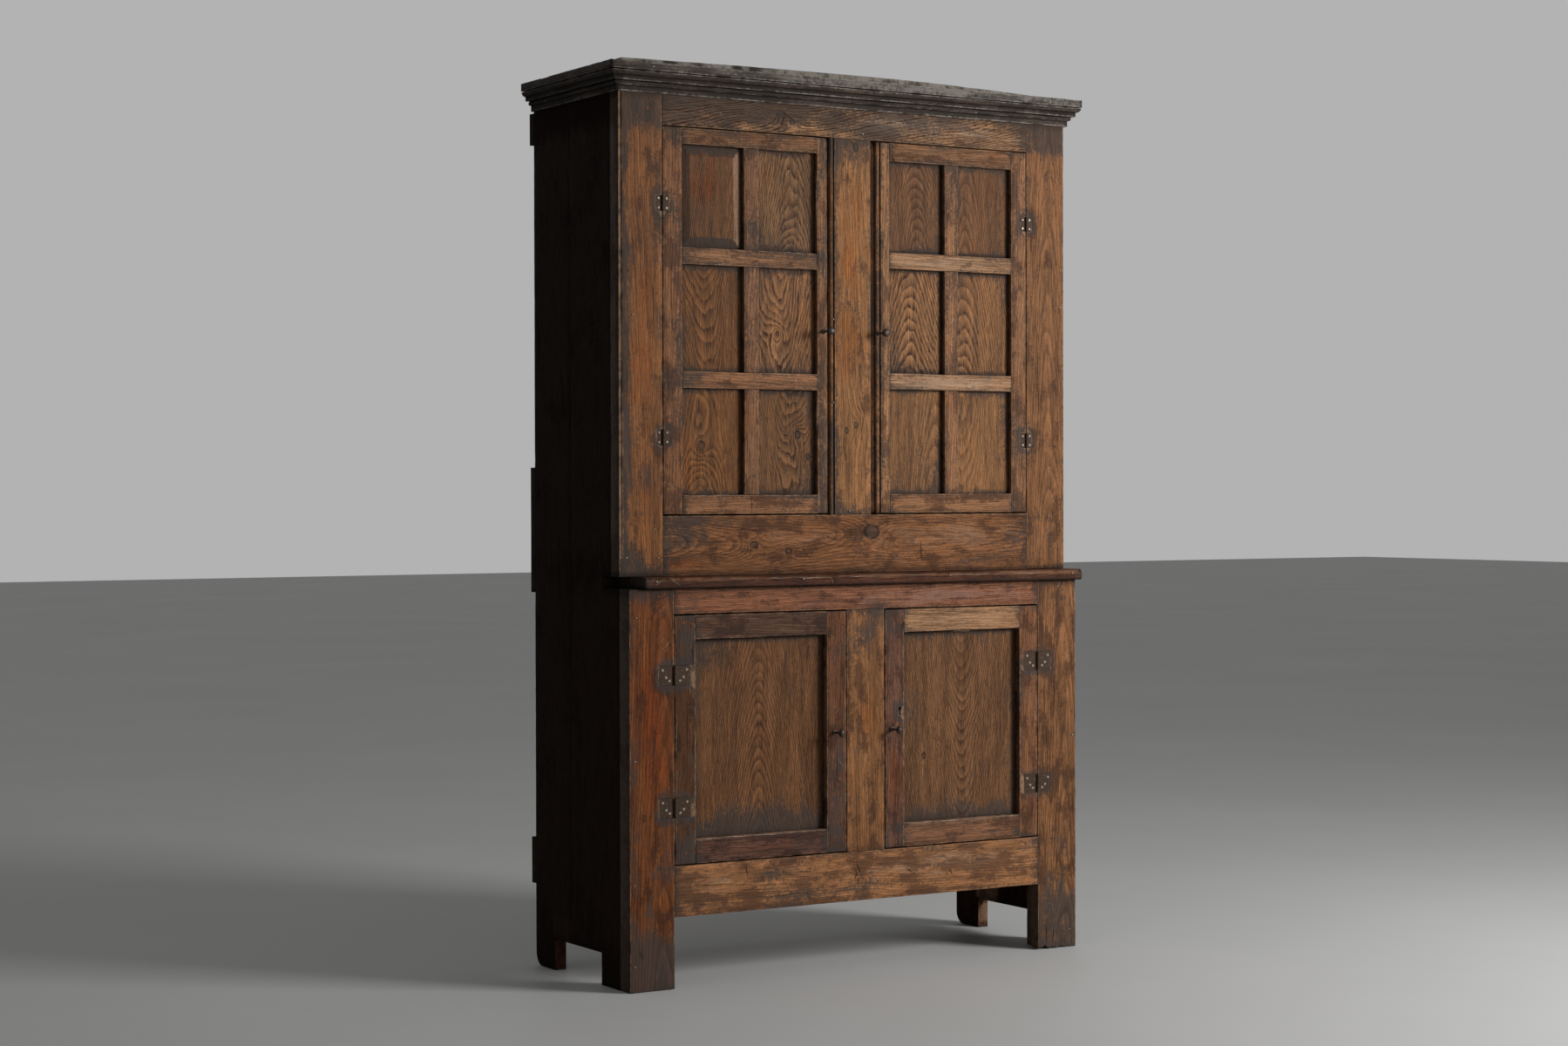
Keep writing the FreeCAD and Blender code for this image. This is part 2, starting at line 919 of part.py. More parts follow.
def door_stops():
    """Returns the strips under the head rails that the closed doors rest against."""
    rows = (
        (upper_front + upper_door_thickness, upper_frame_back, upper_opening_top),
        (lower_front + lower_door_thickness, upper_front, lower_opening_top),
    )
    middle = upper_opening_half / 2
    return [
        Block(
            side * middle - stop_length / 2,
            side * middle + stop_length / 2,
            door_back + stop_clearance,
            frame_back,
            top - stop_height,
            top,
        ).solid()
        for door_back, frame_back, top in rows
        for side in (-1, 1)
    ]


# Doors


@dataclass(frozen=True)
class Door:
    """A framed and panelled door.

    hinge_edge and hinge_stile bound the hinge stile, closing_edge and closing_stile the other
    one, and side is -1 for a door hung on the left. rails lists each rail's (bottom, top) from
    the foot up. muntin is (left, right), or None for a door with one column of panels.
    """

    side: int
    front: float
    thickness: float
    hinge_edge: float
    hinge_stile: float
    closing_edge: float
    closing_stile: float
    rails: tuple
    muntin: tuple
    recess: float
    field_rise: float

    @property
    def bottom(self):
        """Returns the height of the door's foot."""
        return self.rails[0][0]

    @property
    def top(self):
        """Returns the height of the door's head."""
        return self.rails[-1][1]

    def groove(self):
        """Returns the front and back of the panel groove."""
        front = self.front + self.recess - panel_clearance
        return front, front + panel_edge_thickness + 2 * panel_clearance

    def openings(self):
        """Returns the panel openings as (left, right, bottom, top), row by row."""
        left, right = sorted((self.hinge_stile, self.closing_stile))
        columns = [(left, right)]
        if self.muntin:
            columns = [(left, self.muntin[0]), (self.muntin[1], right)]
        rows = [(low[1], high[0]) for low, high in zip(self.rails, self.rails[1:])]
        return [(x0, x1, z0, z1) for z0, z1 in rows for x0, x1 in columns]

    def grooves(self):
        """Returns the grooves round every panel opening, as blocks that fill the openings too."""
        y0, y1 = self.groove()
        return [
            Block(x0 - groove_depth, x1 + groove_depth, y0, y1, z0 - groove_depth, z1 + groove_depth).solid()
            for x0, x1, z0, z1 in self.openings()
        ]

    def tenons(self, index):
        """Returns the two tenons of a rail, kept clear of the panel grooves."""
        z0, z1 = self.rails[index]
        low = z0 + (groove_depth if index else door_tenon_shoulder)
        high = z1 - (groove_depth if index < len(self.rails) - 1 else door_tenon_shoulder)
        cheek = self.thickness * tenon_thickness_share
        y0, y1 = self.front + cheek, self.front + self.thickness - cheek
        blocks = []
        for inner, edge in ((self.hinge_stile, self.hinge_edge), (self.closing_stile, self.closing_edge)):
            reach = (edge - inner) * door_tenon_share
            blocks.append(Block(inner, inner + reach, y0, y1, low, high))
        return blocks

    def mortises(self):
        """Returns the mortises for every rail."""
        return [
            tenon.grown(tenon_clearance).solid()
            for index in range(len(self.rails))
            for tenon in self.tenons(index)
        ]

    def stile_blank(self, inner, edge):
        """Returns a plain stile."""
        return Block(inner, edge, self.front, self.front + self.thickness, self.bottom, self.top).solid()

    def stile(self, blank, cutters):
        """Returns a stile grooved, mortised and cut for its fittings."""
        return cut_all(blank, self.grooves() + self.mortises() + cutters)

    def make_rails(self):
        """Returns the rails, each with its tenons and grooves."""
        made = []
        left, right = sorted((self.hinge_stile, self.closing_stile))
        for index, (z0, z1) in enumerate(self.rails):
            bar = Block(left, right, self.front, self.front + self.thickness, z0, z1).solid()
            bar = cut_all(bar, self.grooves() + self.stub_mortises())
            made.append(join_all(bar, [tenon.solid() for tenon in self.tenons(index)]))
        return made

    def make_muntins(self):
        """Returns the upright bars between the rails, with stub tenons in the panel grooves."""
        made = []
        y0, y1 = self.groove()
        x0, x1 = self.muntin
        for low, high in zip(self.rails, self.rails[1:]):
            z0, z1 = low[1], high[0]
            bar = Block(x0, x1, self.front, self.front + self.thickness, z0, z1).solid()
            bar = cut_all(bar, self.grooves())
            stub = groove_depth - panel_expansion_gap
            tongue = Block(
                x0 + groove_depth,
                x1 - groove_depth,
                y0 + panel_clearance,
                y1 - panel_clearance,
                z0 - stub,
                z1 + stub,
            )
            made.append(join_all(bar, [tongue.solid()]))
        return made

    def stub_mortises(self):
        """Returns the mortises in the rails for the stub tenons of the muntins."""
        if not self.muntin:
            return []
        y0, y1 = self.groove()
        x0, x1 = self.muntin
        return [
            Block(x0, x1, y0, y1, low[1] - groove_depth, high[0] + groove_depth).solid()
            for low, high in zip(self.rails, self.rails[1:])
        ]

    def panel(self, opening, rise, towards_front):
        """Returns a panel: a thin edge for the grooves, and a field that stands up on one side."""
        x0, x1, z0, z1 = opening
        entry = groove_depth - panel_expansion_gap
        y0 = self.front + self.recess
        y1 = y0 + panel_edge_thickness
        slab = Block(x0 - entry, x1 + entry, y0, y1, z0 - entry, z1 + entry).solid()
        base, crest = (y0, y0 - rise) if towards_front else (y1, y1 + rise)
        inset = panel_bevel_width
        foot = rectangle(x0, x1, z0, z1, base)
        crown = rectangle(x0 + inset, x1 - inset, z0 + inset, z1 - inset, crest)
        return join_all(slab, [bevelled_field(foot, crown)])

    def flat_panels(self):
        """Returns every panel with its field at the back, from the foot up."""
        return [self.panel(opening, self.field_rise, False) for opening in self.openings()]


def rectangle(x0, x1, z0, z1, y):
    """Returns the corners of an upright rectangle that faces the front."""
    return [Vector(x0, y, z0), Vector(x1, y, z0), Vector(x1, y, z1), Vector(x0, y, z1)]


def bevelled_field(foot, crown):
    """Returns the solid between two rectangles, with flat bevels all round."""
    bevels = [[foot[i - 1], foot[i], crown[i], crown[i - 1]] for i in range(len(foot))]
    return flat_faced([foot, crown] + bevels)


def flat_faced(faces):
    """Returns the solid that a closed set of flat faces bounds, each a list of corners."""
    shell = Part.Shell([Part.Face(Part.makePolygon(face + face[:1])) for face in faces])
    solid = Part.Solid(shell)
    if solid.Volume < 0:
        solid.reverse()
    return solid


def upper_rails(bottom_rail, top_rail, row_shares):
    """Returns the (bottom, top) of an upper door's rails.

    The height that the rails leave free is shared among the rows of panels.
    """
    foot = upper_opening_bottom + door_end_gap
    head = upper_opening_top - door_end_gap
    free = head - foot - bottom_rail - top_rail - upper_cross_rail * (len(row_shares) - 1)
    spans = [(foot, foot + bottom_rail)]
    for share in row_shares[:-1]:
        low = spans[-1][1] + free * share / sum(row_shares)
        spans.append((low, low + upper_cross_rail))
    return (*spans, (head - top_rail, head))


upper_left_door = Door(
    side=-1,
    front=upper_front,
    thickness=upper_door_thickness,
    hinge_edge=-(upper_opening_half - hinge_gap),
    hinge_stile=-(upper_opening_half - hinge_gap - left_hinge_stile),
    closing_edge=left_door_end,
    closing_stile=left_door_end - left_lip_width - left_closing_flat,
    rails=upper_rails(left_bottom_rail, left_top_rail, left_row_shares),
    muntin=(left_muntin_left, left_muntin_left + upper_door_muntin),
    recess=upper_panel_recess,
    field_rise=upper_field_rise,
)
upper_right_door = Door(
    side=1,
    front=upper_front,
    thickness=upper_door_thickness,
    hinge_edge=upper_opening_half - hinge_gap,
    hinge_stile=upper_opening_half - hinge_gap - right_hinge_stile,
    closing_edge=right_door_end,
    closing_stile=right_door_end + right_lip_width + right_bead_width + quirk_width + right_closing_flat,
    rails=upper_rails(right_bottom_rail, right_top_rail, right_row_shares),
    muntin=(right_muntin_left, right_muntin_left + upper_door_muntin),
    recess=upper_panel_recess,
    field_rise=upper_field_rise,
)
lower_door_rails = (
    (lower_opening_bottom + door_end_gap, lower_opening_bottom + door_end_gap + lower_door_rail),
    (lower_opening_top - door_end_gap - lower_door_rail, lower_opening_top - door_end_gap),
)
lower_left_door = Door(
    side=-1,
    front=lower_front,
    thickness=lower_door_thickness,
    hinge_edge=-(lower_opening_half - hinge_gap),
    hinge_stile=-(lower_opening_half - hinge_gap - lower_door_stile),
    closing_edge=lower_left_door_end,
    closing_stile=lower_left_door_end - lower_door_stile,
    rails=lower_door_rails,
    muntin=None,
    recess=lower_panel_recess,
    field_rise=lower_field_rise,
)
lower_right_door = Door(
    side=1,
    front=lower_front,
    thickness=lower_door_thickness,
    hinge_edge=lower_opening_half - hinge_gap,
    hinge_stile=lower_opening_half - hinge_gap - lower_door_stile,
    closing_edge=lower_right_door_end,
    closing_stile=lower_right_door_end + lower_door_stile,
    rails=lower_door_rails,
    muntin=None,
    recess=lower_panel_recess,
    field_rise=lower_field_rise,
)


def left_closing_blank():
    """Returns the closing stile of the upper left door, stepped back along its edge."""
    door = upper_left_door
    lip = door.front + lip_setback
    step = left_door_end - left_lip_width
    back = door.front + door.thickness
    return upright(
        door,
        Vector(left_door_end, back, 0),
        Vector(left_door_end, lip, 0),
        Vector(step, lip, 0),
        Vector(step, door.front, 0),
        Vector(door.closing_stile, door.front, 0),
        Vector(door.closing_stile, back, 0),
    )


def right_closing_blank():
    """Returns the closing stile of the upper right door, with its lip and its bead."""
    door = upper_right_door
    lip = door.front + lip_setback
    step = right_door_end + right_lip_width
    back = door.front + door.thickness
    return upright(
        door,
        Vector(right_door_end, back, 0),
        Vector(right_door_end, lip, 0),
        Vector(step, lip, 0),
        *beaded_corner(step, door.front, right_bead_width, 1),
        Vector(door.closing_stile, door.front, 0),
        Vector(door.closing_stile, back, 0),
    )


def upright(door, *points):
    """Returns a stile of a door from its plan section."""
    section = outline(*points)
    section.translate(Vector(0, 0, door.bottom))
    return section.extrude(Vector(0, 0, door.top - door.bottom))


# Turning knobs and catches


@dataclass(frozen=True)
class Latch:
    """A knob on a spindle through a door, with a catch that turns behind the centre post."""

    door: Door
    x: float
    z: float
    reach: float
    post_back: float
    head_width: float

    def knob(self):
        """Returns the knob with its collar, shank, spindle and square tang, forged in one."""
        face = self.door.front - knob_seat_gap
        collar_top = face - collar_height
        throat = self.door.front - self.reach + head_length
        rings = [
            (collar_radius, face),
            (collar_radius, face - collar_height / 2),
            (shank_radius, collar_top),
            (throat_radius, throat),
        ]
        rings += [(head_radius * wide, throat - head_length * deep) for wide, deep in head_outline_shares]
        shoulder = self.catch_front() - tang_clearance
        spindle = cylinder_y(self.x, face, shoulder, self.z, spindle_radius)
        knob = join_all(self.forging(rings), [spindle, self.tang(tang_width, shoulder).solid()])
        return cut_all(knob, self.flats(throat))

    def forging(self, rings):
        """Returns a solid with small flats all round; rings lists (radius, depth) from the door out."""
        turn = 2 * math.pi / knob_side_count
        corners = [
            [
                Vector(self.x + radius * math.cos(side * turn), y, self.z + radius * math.sin(side * turn))
                for side in range(knob_side_count)
            ]
            for radius, y in rings
        ]
        faces = [corners[0], corners[-1]]
        for near, far in zip(corners, corners[1:]):
            for side in range(knob_side_count):
                faces.append([near[side - 1], near[side], far[side], far[side - 1]])
        return flat_faced(faces)

    def tang(self, width, front):
        """Returns the space of the square tang that the catch sits on."""
        half = width / 2
        return Block(self.x - half, self.x + half, front, self.catch_back(), self.z - half, self.z + half)

    def flats(self, throat):
        """Returns what is filed off both sides of a flattened head."""
        if self.head_width >= 2 * head_radius:
            return []
        outer = head_radius + cutter_overrun
        front = throat - head_length - cutter_overrun
        low, high = self.z - outer, self.z + outer
        half = self.head_width / 2
        return [
            Block(self.x + side * half, self.x + side * outer, front, throat, low, high).solid()
            for side in (-1, 1)
        ]

    def catch_front(self):
        """Returns the depth of the catch's front face, clear of the post."""
        return self.post_back + catch_rear_gap

    def catch_back(self):
        """Returns the depth of the catch's rear face."""
        return self.catch_front() + catch_thickness

    def catch(self):
        """Returns the catch, hanging open below the spindle."""
        half, tip = catch_width / 2, catch_tip_width / 2
        y = self.catch_front()

        def at(dx, dz):
            return Vector(self.x + dx, y, self.z + dz)

        plate = outline(
            at(half, 0),
            (at(0, half), at(-half, 0)),
            at(-tip, tip - catch_length),
            (at(0, -catch_length), at(tip, tip - catch_length)),
        ).extrude(Vector(0, catch_thickness, 0))
        square = self.tang(tang_width + 2 * tang_clearance, y)
        return cut_all(plate, [square.solid()])

    def hole(self):
        """Returns the running hole of the spindle through the door."""
        radius = spindle_radius + spindle_clearance
        front = self.door.front - cutter_overrun
        back = self.door.front + self.door.thickness + cutter_overrun
        return cylinder_y(self.x, front, back, self.z, radius)

    def solids(self):
        """Returns the knob and its catch."""
        return [self.knob(), self.catch()]


def upper_latch(door, x):
    """Returns the latch of an upper door, a little below the middle of the opening."""
    height = (upper_opening_bottom + upper_opening_top) / 2 - upper_knob_drop
    return Latch(door, x, height, upper_knob_reach, upper_frame_back, 2 * head_radius)


def lower_latch(door, x):
    """Returns the latch of a lower door, below the lock, its head filed flat on both sides."""
    height = lock_middle_height - lower_knob_drop
    return Latch(door, x, height, lower_knob_reach, upper_front, lower_head_width)


latches = {
    "upper_left": upper_latch(upper_left_door, upper_left_knob),
    "upper_right": upper_latch(upper_right_door, upper_right_knob),
    "lower_left": lower_latch(lower_left_door, lower_left_knob),
    "lower_right": lower_latch(lower_right_door, lower_right_knob),
}


# Lock


def lock_block():
    """Returns the space of the lock case on the back of the lower right door."""
    door = lower_right_door
    left = door.closing_edge + lock_edge_inset
    back = door.front + door.thickness
    low = lock_middle_height - lock_height / 2
    return Block(left, left + lock_width, back, back + lock_depth, low, low + lock_height)


def bolt_block():
    """Returns the bolt, drawn back so that its end is flush with the case."""
    case = lock_block()
    middle_y = (case.y0 + case.y1) / 2
    middle_z = lock_middle_height + bolt_rise
    return Block(
        case.x0,
        case.x0 + bolt_length,
        middle_y - bolt_thickness / 2,
        middle_y + bolt_thickness / 2,
        middle_z - bolt_height / 2,
        middle_z + bolt_height / 2,
    )


def bolt_mortise():
    """Returns the mortise in the centre post that the bolt shoots into."""
    bolt = bolt_block()
    tip = bolt.x0 - bolt_throw - bolt_mortise_floor
    gap = bolt_mortise_gap
    return Block(
        tip, lower_post_right + cutter_overrun, bolt.y0 - gap, bolt.y1 + gap, bolt.z0 - gap, bolt.z1 + gap
    )


def keyhole():
    """Returns the keyhole, a round eye over a narrower slot, right through the stile."""
    case = lock_block()
    front = lower_front - cutter_overrun
    back = case.y0 + lock_depth / 2
    eye = lock_middle_height + keyhole_height / 2 - keyhole_radius
    foot = lock_middle_height - keyhole_height / 2
    round_eye = cylinder_y(keyhole_x, front, back, eye, keyhole_radius)
    half = keyhole_slot_width / 2
    slot = Block(keyhole_x - half, keyhole_x + half, front, back, foot, eye).solid()
    return join_all(round_eye, [slot])


def lock_case():
    """Returns the lock case with its keyhole and the channel that the bolt runs in."""
    bolt = bolt_block()
    gap = lock_running_gap
    channel = Block(
        bolt.x0 - cutter_overrun, bolt.x1 + gap, bolt.y0 - gap, bolt.y1 + gap, bolt.z0 - gap, bolt.z1 + gap
    )
    return cut_all(lock_block().solid(), [channel.solid(), keyhole()])


# Nodes


def case_nodes():
    """Returns the pieces of the case by name."""
    return {
        "side_left_front_board": [side_front_board(-1)],
        "side_left_rear_board": [side_rear_board(-1)],
        "side_right_front_board": [side_front_board(1)],
        "side_right_rear_board": [side_rear_board(1)],
        "upper_stile_left": [upper_left_stile()],
        "upper_stile_right": [upper_frame.stile(1, hinge_beds("upper_right"))],
        "upper_head_rail": [upper_frame.head_rail()],
        "upper_sill_rail": [upper_frame.foot_rail()],
        "upper_centre_post": [upper_post()],
        "lower_stile_left": [lower_frame.stile(-1, hinge_beds("lower_left"))],
        "lower_stile_right": [lower_frame.stile(1, hinge_beds("lower_right"))],
        "lower_head_rail": [lower_frame.head_rail()],
        "lower_bottom_rail": [lower_frame.foot_rail()],
        "lower_centre_post": [lower_post()],
        "waist_ledge": [waist_ledge()],
        "cornice_front": [cornice_front()],
        "cornice_left": [cornice_return(-1)],
        "cornice_right": [cornice_return(1)],
        "top_boards": top_boards(),
        "back_boards": back_boards(),
        "back_battens": back_battens(),
        "upper_shelves": upper_shelves(),
        "lower_shelf": [lower_shelf()],
        "waist_boards": waist_boards(),
        "floor_boards": floor_boards(),
        "shelf_cleats": shelf_cleats(),
        "door_stops": door_stops(),
        "upper_hinge_frame_leaves": frame_leaves("upper_left", "upper_right"),
        "lower_hinge_frame_leaves": frame_leaves("lower_left", "lower_right"),
    }


def lower_shelf():
    """Returns the shelf of the lower stage."""
    top = lower_shelf_top()
    return inner_board(upper_front + lower_shelf_setback, top - shelf_thickness, top)


def frame_leaves(*doors):
    """Returns the hinge leaves let into the frame beside the named doors, with their pins."""
    return [
        place.fixed_leaf(-1 if door.endswith("left") else 1)
        for door in doors
        for place in hinges[door]
    ]


def door_nodes(name, door, closing_blank, extra_cutters):
    """Returns the pieces of one door by name, without its panels."""
    beds = hinge_beds(name)
    spindle_hole = latches[name].hole()
    leaves = [place.turning_leaf(-door.side) for place in hinges[name]]
    hinge_blank = door.stile_blank(door.hinge_stile, door.hinge_edge)
    return {
        f"{name}_hinge_stile": [door.stile(hinge_blank, beds)],
        f"{name}_closing_stile": [door.stile(closing_blank, [spindle_hole] + extra_cutters)],
        f"{name}_rails": door.make_rails(),
        f"{name}_hinge_leaves": leaves,
        f"{name}_latch": latches[name].solids(),
    }


def upper_door_nodes():
    """Returns the pieces of both upper doors by name."""
    left, right = upper_left_door, upper_right_door
    nodes = door_nodes("upper_left", left, left_closing_blank(), [])
    nodes.update(door_nodes("upper_right", right, right_closing_blank(), []))
    openings = left.openings()
    raised = openings[-2]
    plain = [opening for opening in openings if opening != raised]
    nodes["upper_left_muntins"] = left.make_muntins()
    nodes["upper_left_panels"] = [left.panel(opening, left.field_rise, False) for opening in plain]
    nodes["upper_left_raised_panel"] = [left.panel(raised, raised_field_rise, True)]
    nodes["upper_right_muntins"] = right.make_muntins()
    nodes["upper_right_panels"] = right.flat_panels()
    return nodes


def lower_door_nodes():
    """Returns the pieces of both lower doors by name."""
    nodes = {}
    for name, door, cutters in (
        ("lower_left", lower_left_door, []),
        ("lower_right", lower_right_door, [keyhole()]),
    ):
        blank = door.stile_blank(door.closing_stile, door.closing_edge)
        nodes.update(door_nodes(name, door, blank, cutters))
        nodes[f"{name}_panel"] = door.flat_panels()
    nodes["lock_case"] = [lock_case()]
    nodes["lock_bolt"] = [bolt_block().solid()]
    return nodes


def main():
    """Writes one file for every named piece."""
    os.makedirs("parts", exist_ok=True)
    nodes = {**case_nodes(), **upper_door_nodes(), **lower_door_nodes()}
    for name, solids in nodes.items():
        shape = solids[0] if len(solids) == 1 else Part.makeCompound(solids)
        shape.exportStep(f"parts/{name}.step")
    print(f"{len(nodes)} nodes, {sum(len(solids) for solids in nodes.values())} solids")


if __name__ == "__main__":
    main()
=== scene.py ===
"""An old country cupboard in two stages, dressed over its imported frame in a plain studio.

Lengths are metres unless a name says millimetres. +X is to the right seen from the front,
+Y to the back and +Z up.
"""
import json
import logging
import math
from dataclasses import dataclass, field, replace
from enum import Enum

import bmesh
import bpy
import numpy as np
from mathutils import Matrix, Vector, noise


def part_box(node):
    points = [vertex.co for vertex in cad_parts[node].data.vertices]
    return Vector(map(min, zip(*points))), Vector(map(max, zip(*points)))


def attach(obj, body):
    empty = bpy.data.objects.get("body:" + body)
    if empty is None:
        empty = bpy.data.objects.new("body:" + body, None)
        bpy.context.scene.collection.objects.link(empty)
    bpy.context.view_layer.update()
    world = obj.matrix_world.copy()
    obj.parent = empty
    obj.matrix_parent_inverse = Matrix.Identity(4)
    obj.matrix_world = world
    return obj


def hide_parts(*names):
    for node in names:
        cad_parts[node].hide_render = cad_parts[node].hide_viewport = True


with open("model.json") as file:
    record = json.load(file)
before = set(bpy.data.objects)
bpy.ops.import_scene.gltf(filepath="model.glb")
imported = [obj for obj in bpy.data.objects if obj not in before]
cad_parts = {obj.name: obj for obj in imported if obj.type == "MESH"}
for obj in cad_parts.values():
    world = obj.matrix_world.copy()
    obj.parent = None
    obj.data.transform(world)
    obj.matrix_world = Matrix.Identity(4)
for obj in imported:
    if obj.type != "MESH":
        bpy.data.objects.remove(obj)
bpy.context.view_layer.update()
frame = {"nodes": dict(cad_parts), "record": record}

LOG = logging.getLogger("cupboard")
MM = 0.001
Colour = tuple[float, float, float]
Place = tuple[float, float, float]
BMesh = bmesh.types.BMesh
Segment = tuple[Vector, Vector]
Socket = bpy.types.NodeSocket
Sockets = bpy.types.bpy_prop_collection

BODY_OF = {
    node: body for body, nodes in frame["record"]["behaviour"]["bodies"].items() for node in nodes
}
DOORS = ("upper_left", "upper_right", "lower_left", "lower_right")
UPPER_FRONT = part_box("upper_stile_left")[0].y
LOWER_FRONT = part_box("lower_stile_left")[0].y
LEDGE_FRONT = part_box("waist_ledge")[0].y
FASCIA_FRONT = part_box("cornice_front")[0].y

FRONT_MEMBERS = 40 * MM

# Lines on the front, in millimetres. Painted shade lies on the left face, on the inside of the right foot
# below the lower rail, under the ledge, in the crease at its top and under the cornice.
# Soiling gathers in bands at the head and the foot, and these say how far it spreads.
LEFT_FACE = -636.6
RIGHT_FOOT_INSIDE = 519.5
LOWER_RAIL_FOOT = 170.0
LEDGE_FOOT = 923.0
LEDGE_TOP = 951.0
CORNICE_FOOT = 2062.0
HEAD_GRIME, HEAD_GRIME_REACH = 1970.0, 90.0
FOOT_GRIME_REACH = 120.0
FAR_GAP = 400.0

# A distance or a number of radii that lies beyond every mark
FAR = 0.05
FAR_KNOT = 400.0


class Run(Enum):
    """How a board lies: the axes across its grain, through it and along its grain."""

    UPRIGHT = (0, 1, 2)
    LEVEL = (2, 1, 0)
    SIDE = (1, 0, 2)
    RETURN = (2, 0, 1)
    SHELF = (1, 2, 0)


class Mark(Enum):
    """The marks that age leaves on wood, and the painted shade, and the channel that carries each."""

    GREY = 0
    WARM = 1
    PALE = 2
    # painted shade: under overhangs, in creases, grooves and recesses, and on faces turned from the light
    DARK = 3
    STAIN = 4


@dataclass(frozen=True)
class Blot:
    """A soft patch on the front, its place and half sizes in millimetres."""

    mark: Mark
    x: float
    z: float
    wide: float
    high: float
    strength: float
    only: str = ""


@dataclass(frozen=True)
class Knot:
    """A knot on the front, its place and radius in millimetres."""

    x: float
    z: float
    radius: float


@dataclass(frozen=True)
class Heart:
    """Where a board was sawn from the log, which sets the figure of its rings.

    across and behind place the pith from the middle of the front face. taper says how fast the
    rings close along the board, and its sign which way their arches point. tone tints the board,
    sway says how far its rings wander, figure how strongly they show, and stain how much dark old
    varnish is left on it.
    """

    across: float = 0.0
    behind: float = 0.03
    taper: float = 0.12
    spacing: float = 0.0065
    tone: Colour = (1.0, 1.0, 1.0)
    sway: float = 1.0
    figure: float = 1.0
    stain: float = 0.05


# Shader nodes


class Nodes:
    """Adds and joins nodes in one node tree."""

    def __init__(self, tree: bpy.types.NodeTree) -> None:
        """Keeps the tree."""
        self.tree = tree

    def add(self, kind: str, **settings: object) -> bpy.types.Node:
        """Adds a node with its settings.

        Args:
            kind: The node's type.
            settings: Its properties by name.

        Returns:
            The new node.
        """
        node = self.tree.nodes.new(kind)
        for name, value in settings.items():
            setattr(node, name, value)
        return node

    def join(self, value: object, socket: Socket) -> None:
        """Links a socket to another, or gives it a plain value.

        Args:
            value: The other socket or the value.
            socket: The socket that takes it.
        """
        if isinstance(value, Socket):
            self.tree.links.new(value, socket)
        elif socket.type == "RGBA" and len(value) == 3:
            socket.default_value = (*value, 1.0)
        else:
            socket.default_value = value

    def math(self, operation: str, *values: object, clamp: bool = False) -> Socket:
        """Returns the result of a sum on values or sockets.

        Args:
            operation: The sum's name.
            values: Its values or sockets, in order.
            clamp: Whether the result is kept between 0 and 1.

        Returns:
            The result.
        """
        node = self.add("ShaderNodeMath", operation=operation, use_clamp=clamp)
        for value, socket in zip(values, node.inputs):
            self.join(value, socket)
        return node.outputs[0]

    def total(self, *values: object) -> Socket:
        """Returns the sum of several values or sockets.

        Args:
            values: The values or sockets.

        Returns:
            Their sum.
        """
        result = values[0]
        for value in values[1:]:
            result = self.math("ADD", result, value)
        return result

    def times(self, *values: object) -> Socket:
        """Returns the product of several values or sockets.

        Args:
            values: The values or sockets.

        Returns:
            Their product.
        """
        result = values[0]
        for value in values[1:]:
            result = self.math("MULTIPLY", result, value)
        return result

    def weighed(self, *terms: tuple[object, float]) -> Socket:
        """Returns the sum of values or sockets, each times its weight."""
        return self.total(*(self.times(value, weight) for value, weight in terms))

    def scaled(self, vector: object, across: float, along: float) -> Socket:
        """Returns a vector with its first two parts times one factor and its third times another.

        Args:
            vector: The vector.
            across: The first two parts' factor.
            along: The third's.

        Returns:
            The scaled vector.
        """
        node = self.add("ShaderNodeVectorMath", operation="MULTIPLY")
        self.join(vector, node.inputs[0])
        self.join((across, across, along), node.inputs[1])
        return node.outputs["Vector"]

    def length(self, vector: object) -> Socket:
        """Returns the length of a vector."""
        node = self.add("ShaderNodeVectorMath", operation="LENGTH")
        self.join(vector, node.inputs[0])
        return node.outputs["Value"]

    def step(self, value: object, low: float, high: float) -> Socket:
        """Returns a smooth step from 0 at low to 1 at high, or down where low is the larger.

        Args:
            value: The value or socket that the step follows.
            low: Where the step is 0.
            high: Where the step is 1.

        Returns:
            The step.
        """
        node = self.add("ShaderNodeMapRange", interpolation_type="SMOOTHSTEP")
        down = low > high
        limits = (high, low, 1.0, 0.0) if down else (low, high, 0.0, 1.0)
        self.join(value, node.inputs["Value"])
        for name, limit in zip(("From Min", "From Max", "To Min", "To Max"), limits):
            self.join(limit, node.inputs[name])
        return node.outputs["Result"]

    def mix(self, amount: object, first: object, second: object, blend: str = "MIX") -> Socket:
        """Returns the mix of two colours by an amount.

        Args:
            amount: How much of the second colour shows.
            first: The colour below.
            second: The colour above.
            blend: How they mix.

        Returns:
            The mixed colour.
        """
        node = self.add("ShaderNodeMix", data_type="RGBA", blend_type=blend)
        for value, number in ((amount, 0), (first, 6), (second, 7)):
            self.join(value, node.inputs[number])
        return node.outputs[2]

    def layered(self, base: Socket, *layers: tuple[Socket, float, Colour]) -> Socket:
        """Returns a colour under several layers, each with its mask, strength and colour."""
        for mask, strength, colour in layers:
            base = self.mix(self.times(mask, strength), base, colour)
        return base

    def noise(
        self, vector: object, across: float, along: float, detail: float = 3.0, roughness: float = 0.55
    ) -> Socket:
        """Returns smooth noise from 0 to 1.

        Args:
            vector: Where it is read.
            across: Its cells in a metre along the vector's first two parts.
            along: Its cells in a metre along the vector's third part.
            detail: How many finer layers it has.
            roughness: How strong those layers are.

        Returns:
            The noise.
        """
        node = self.add("ShaderNodeTexNoise")
        self.join(self.scaled(vector, across, along), node.inputs["Vector"])
        for name, value in (("Scale", 1.0), ("Detail", detail), ("Roughness", roughness)):
            self.join(value, node.inputs[name])
        return node.outputs[0]

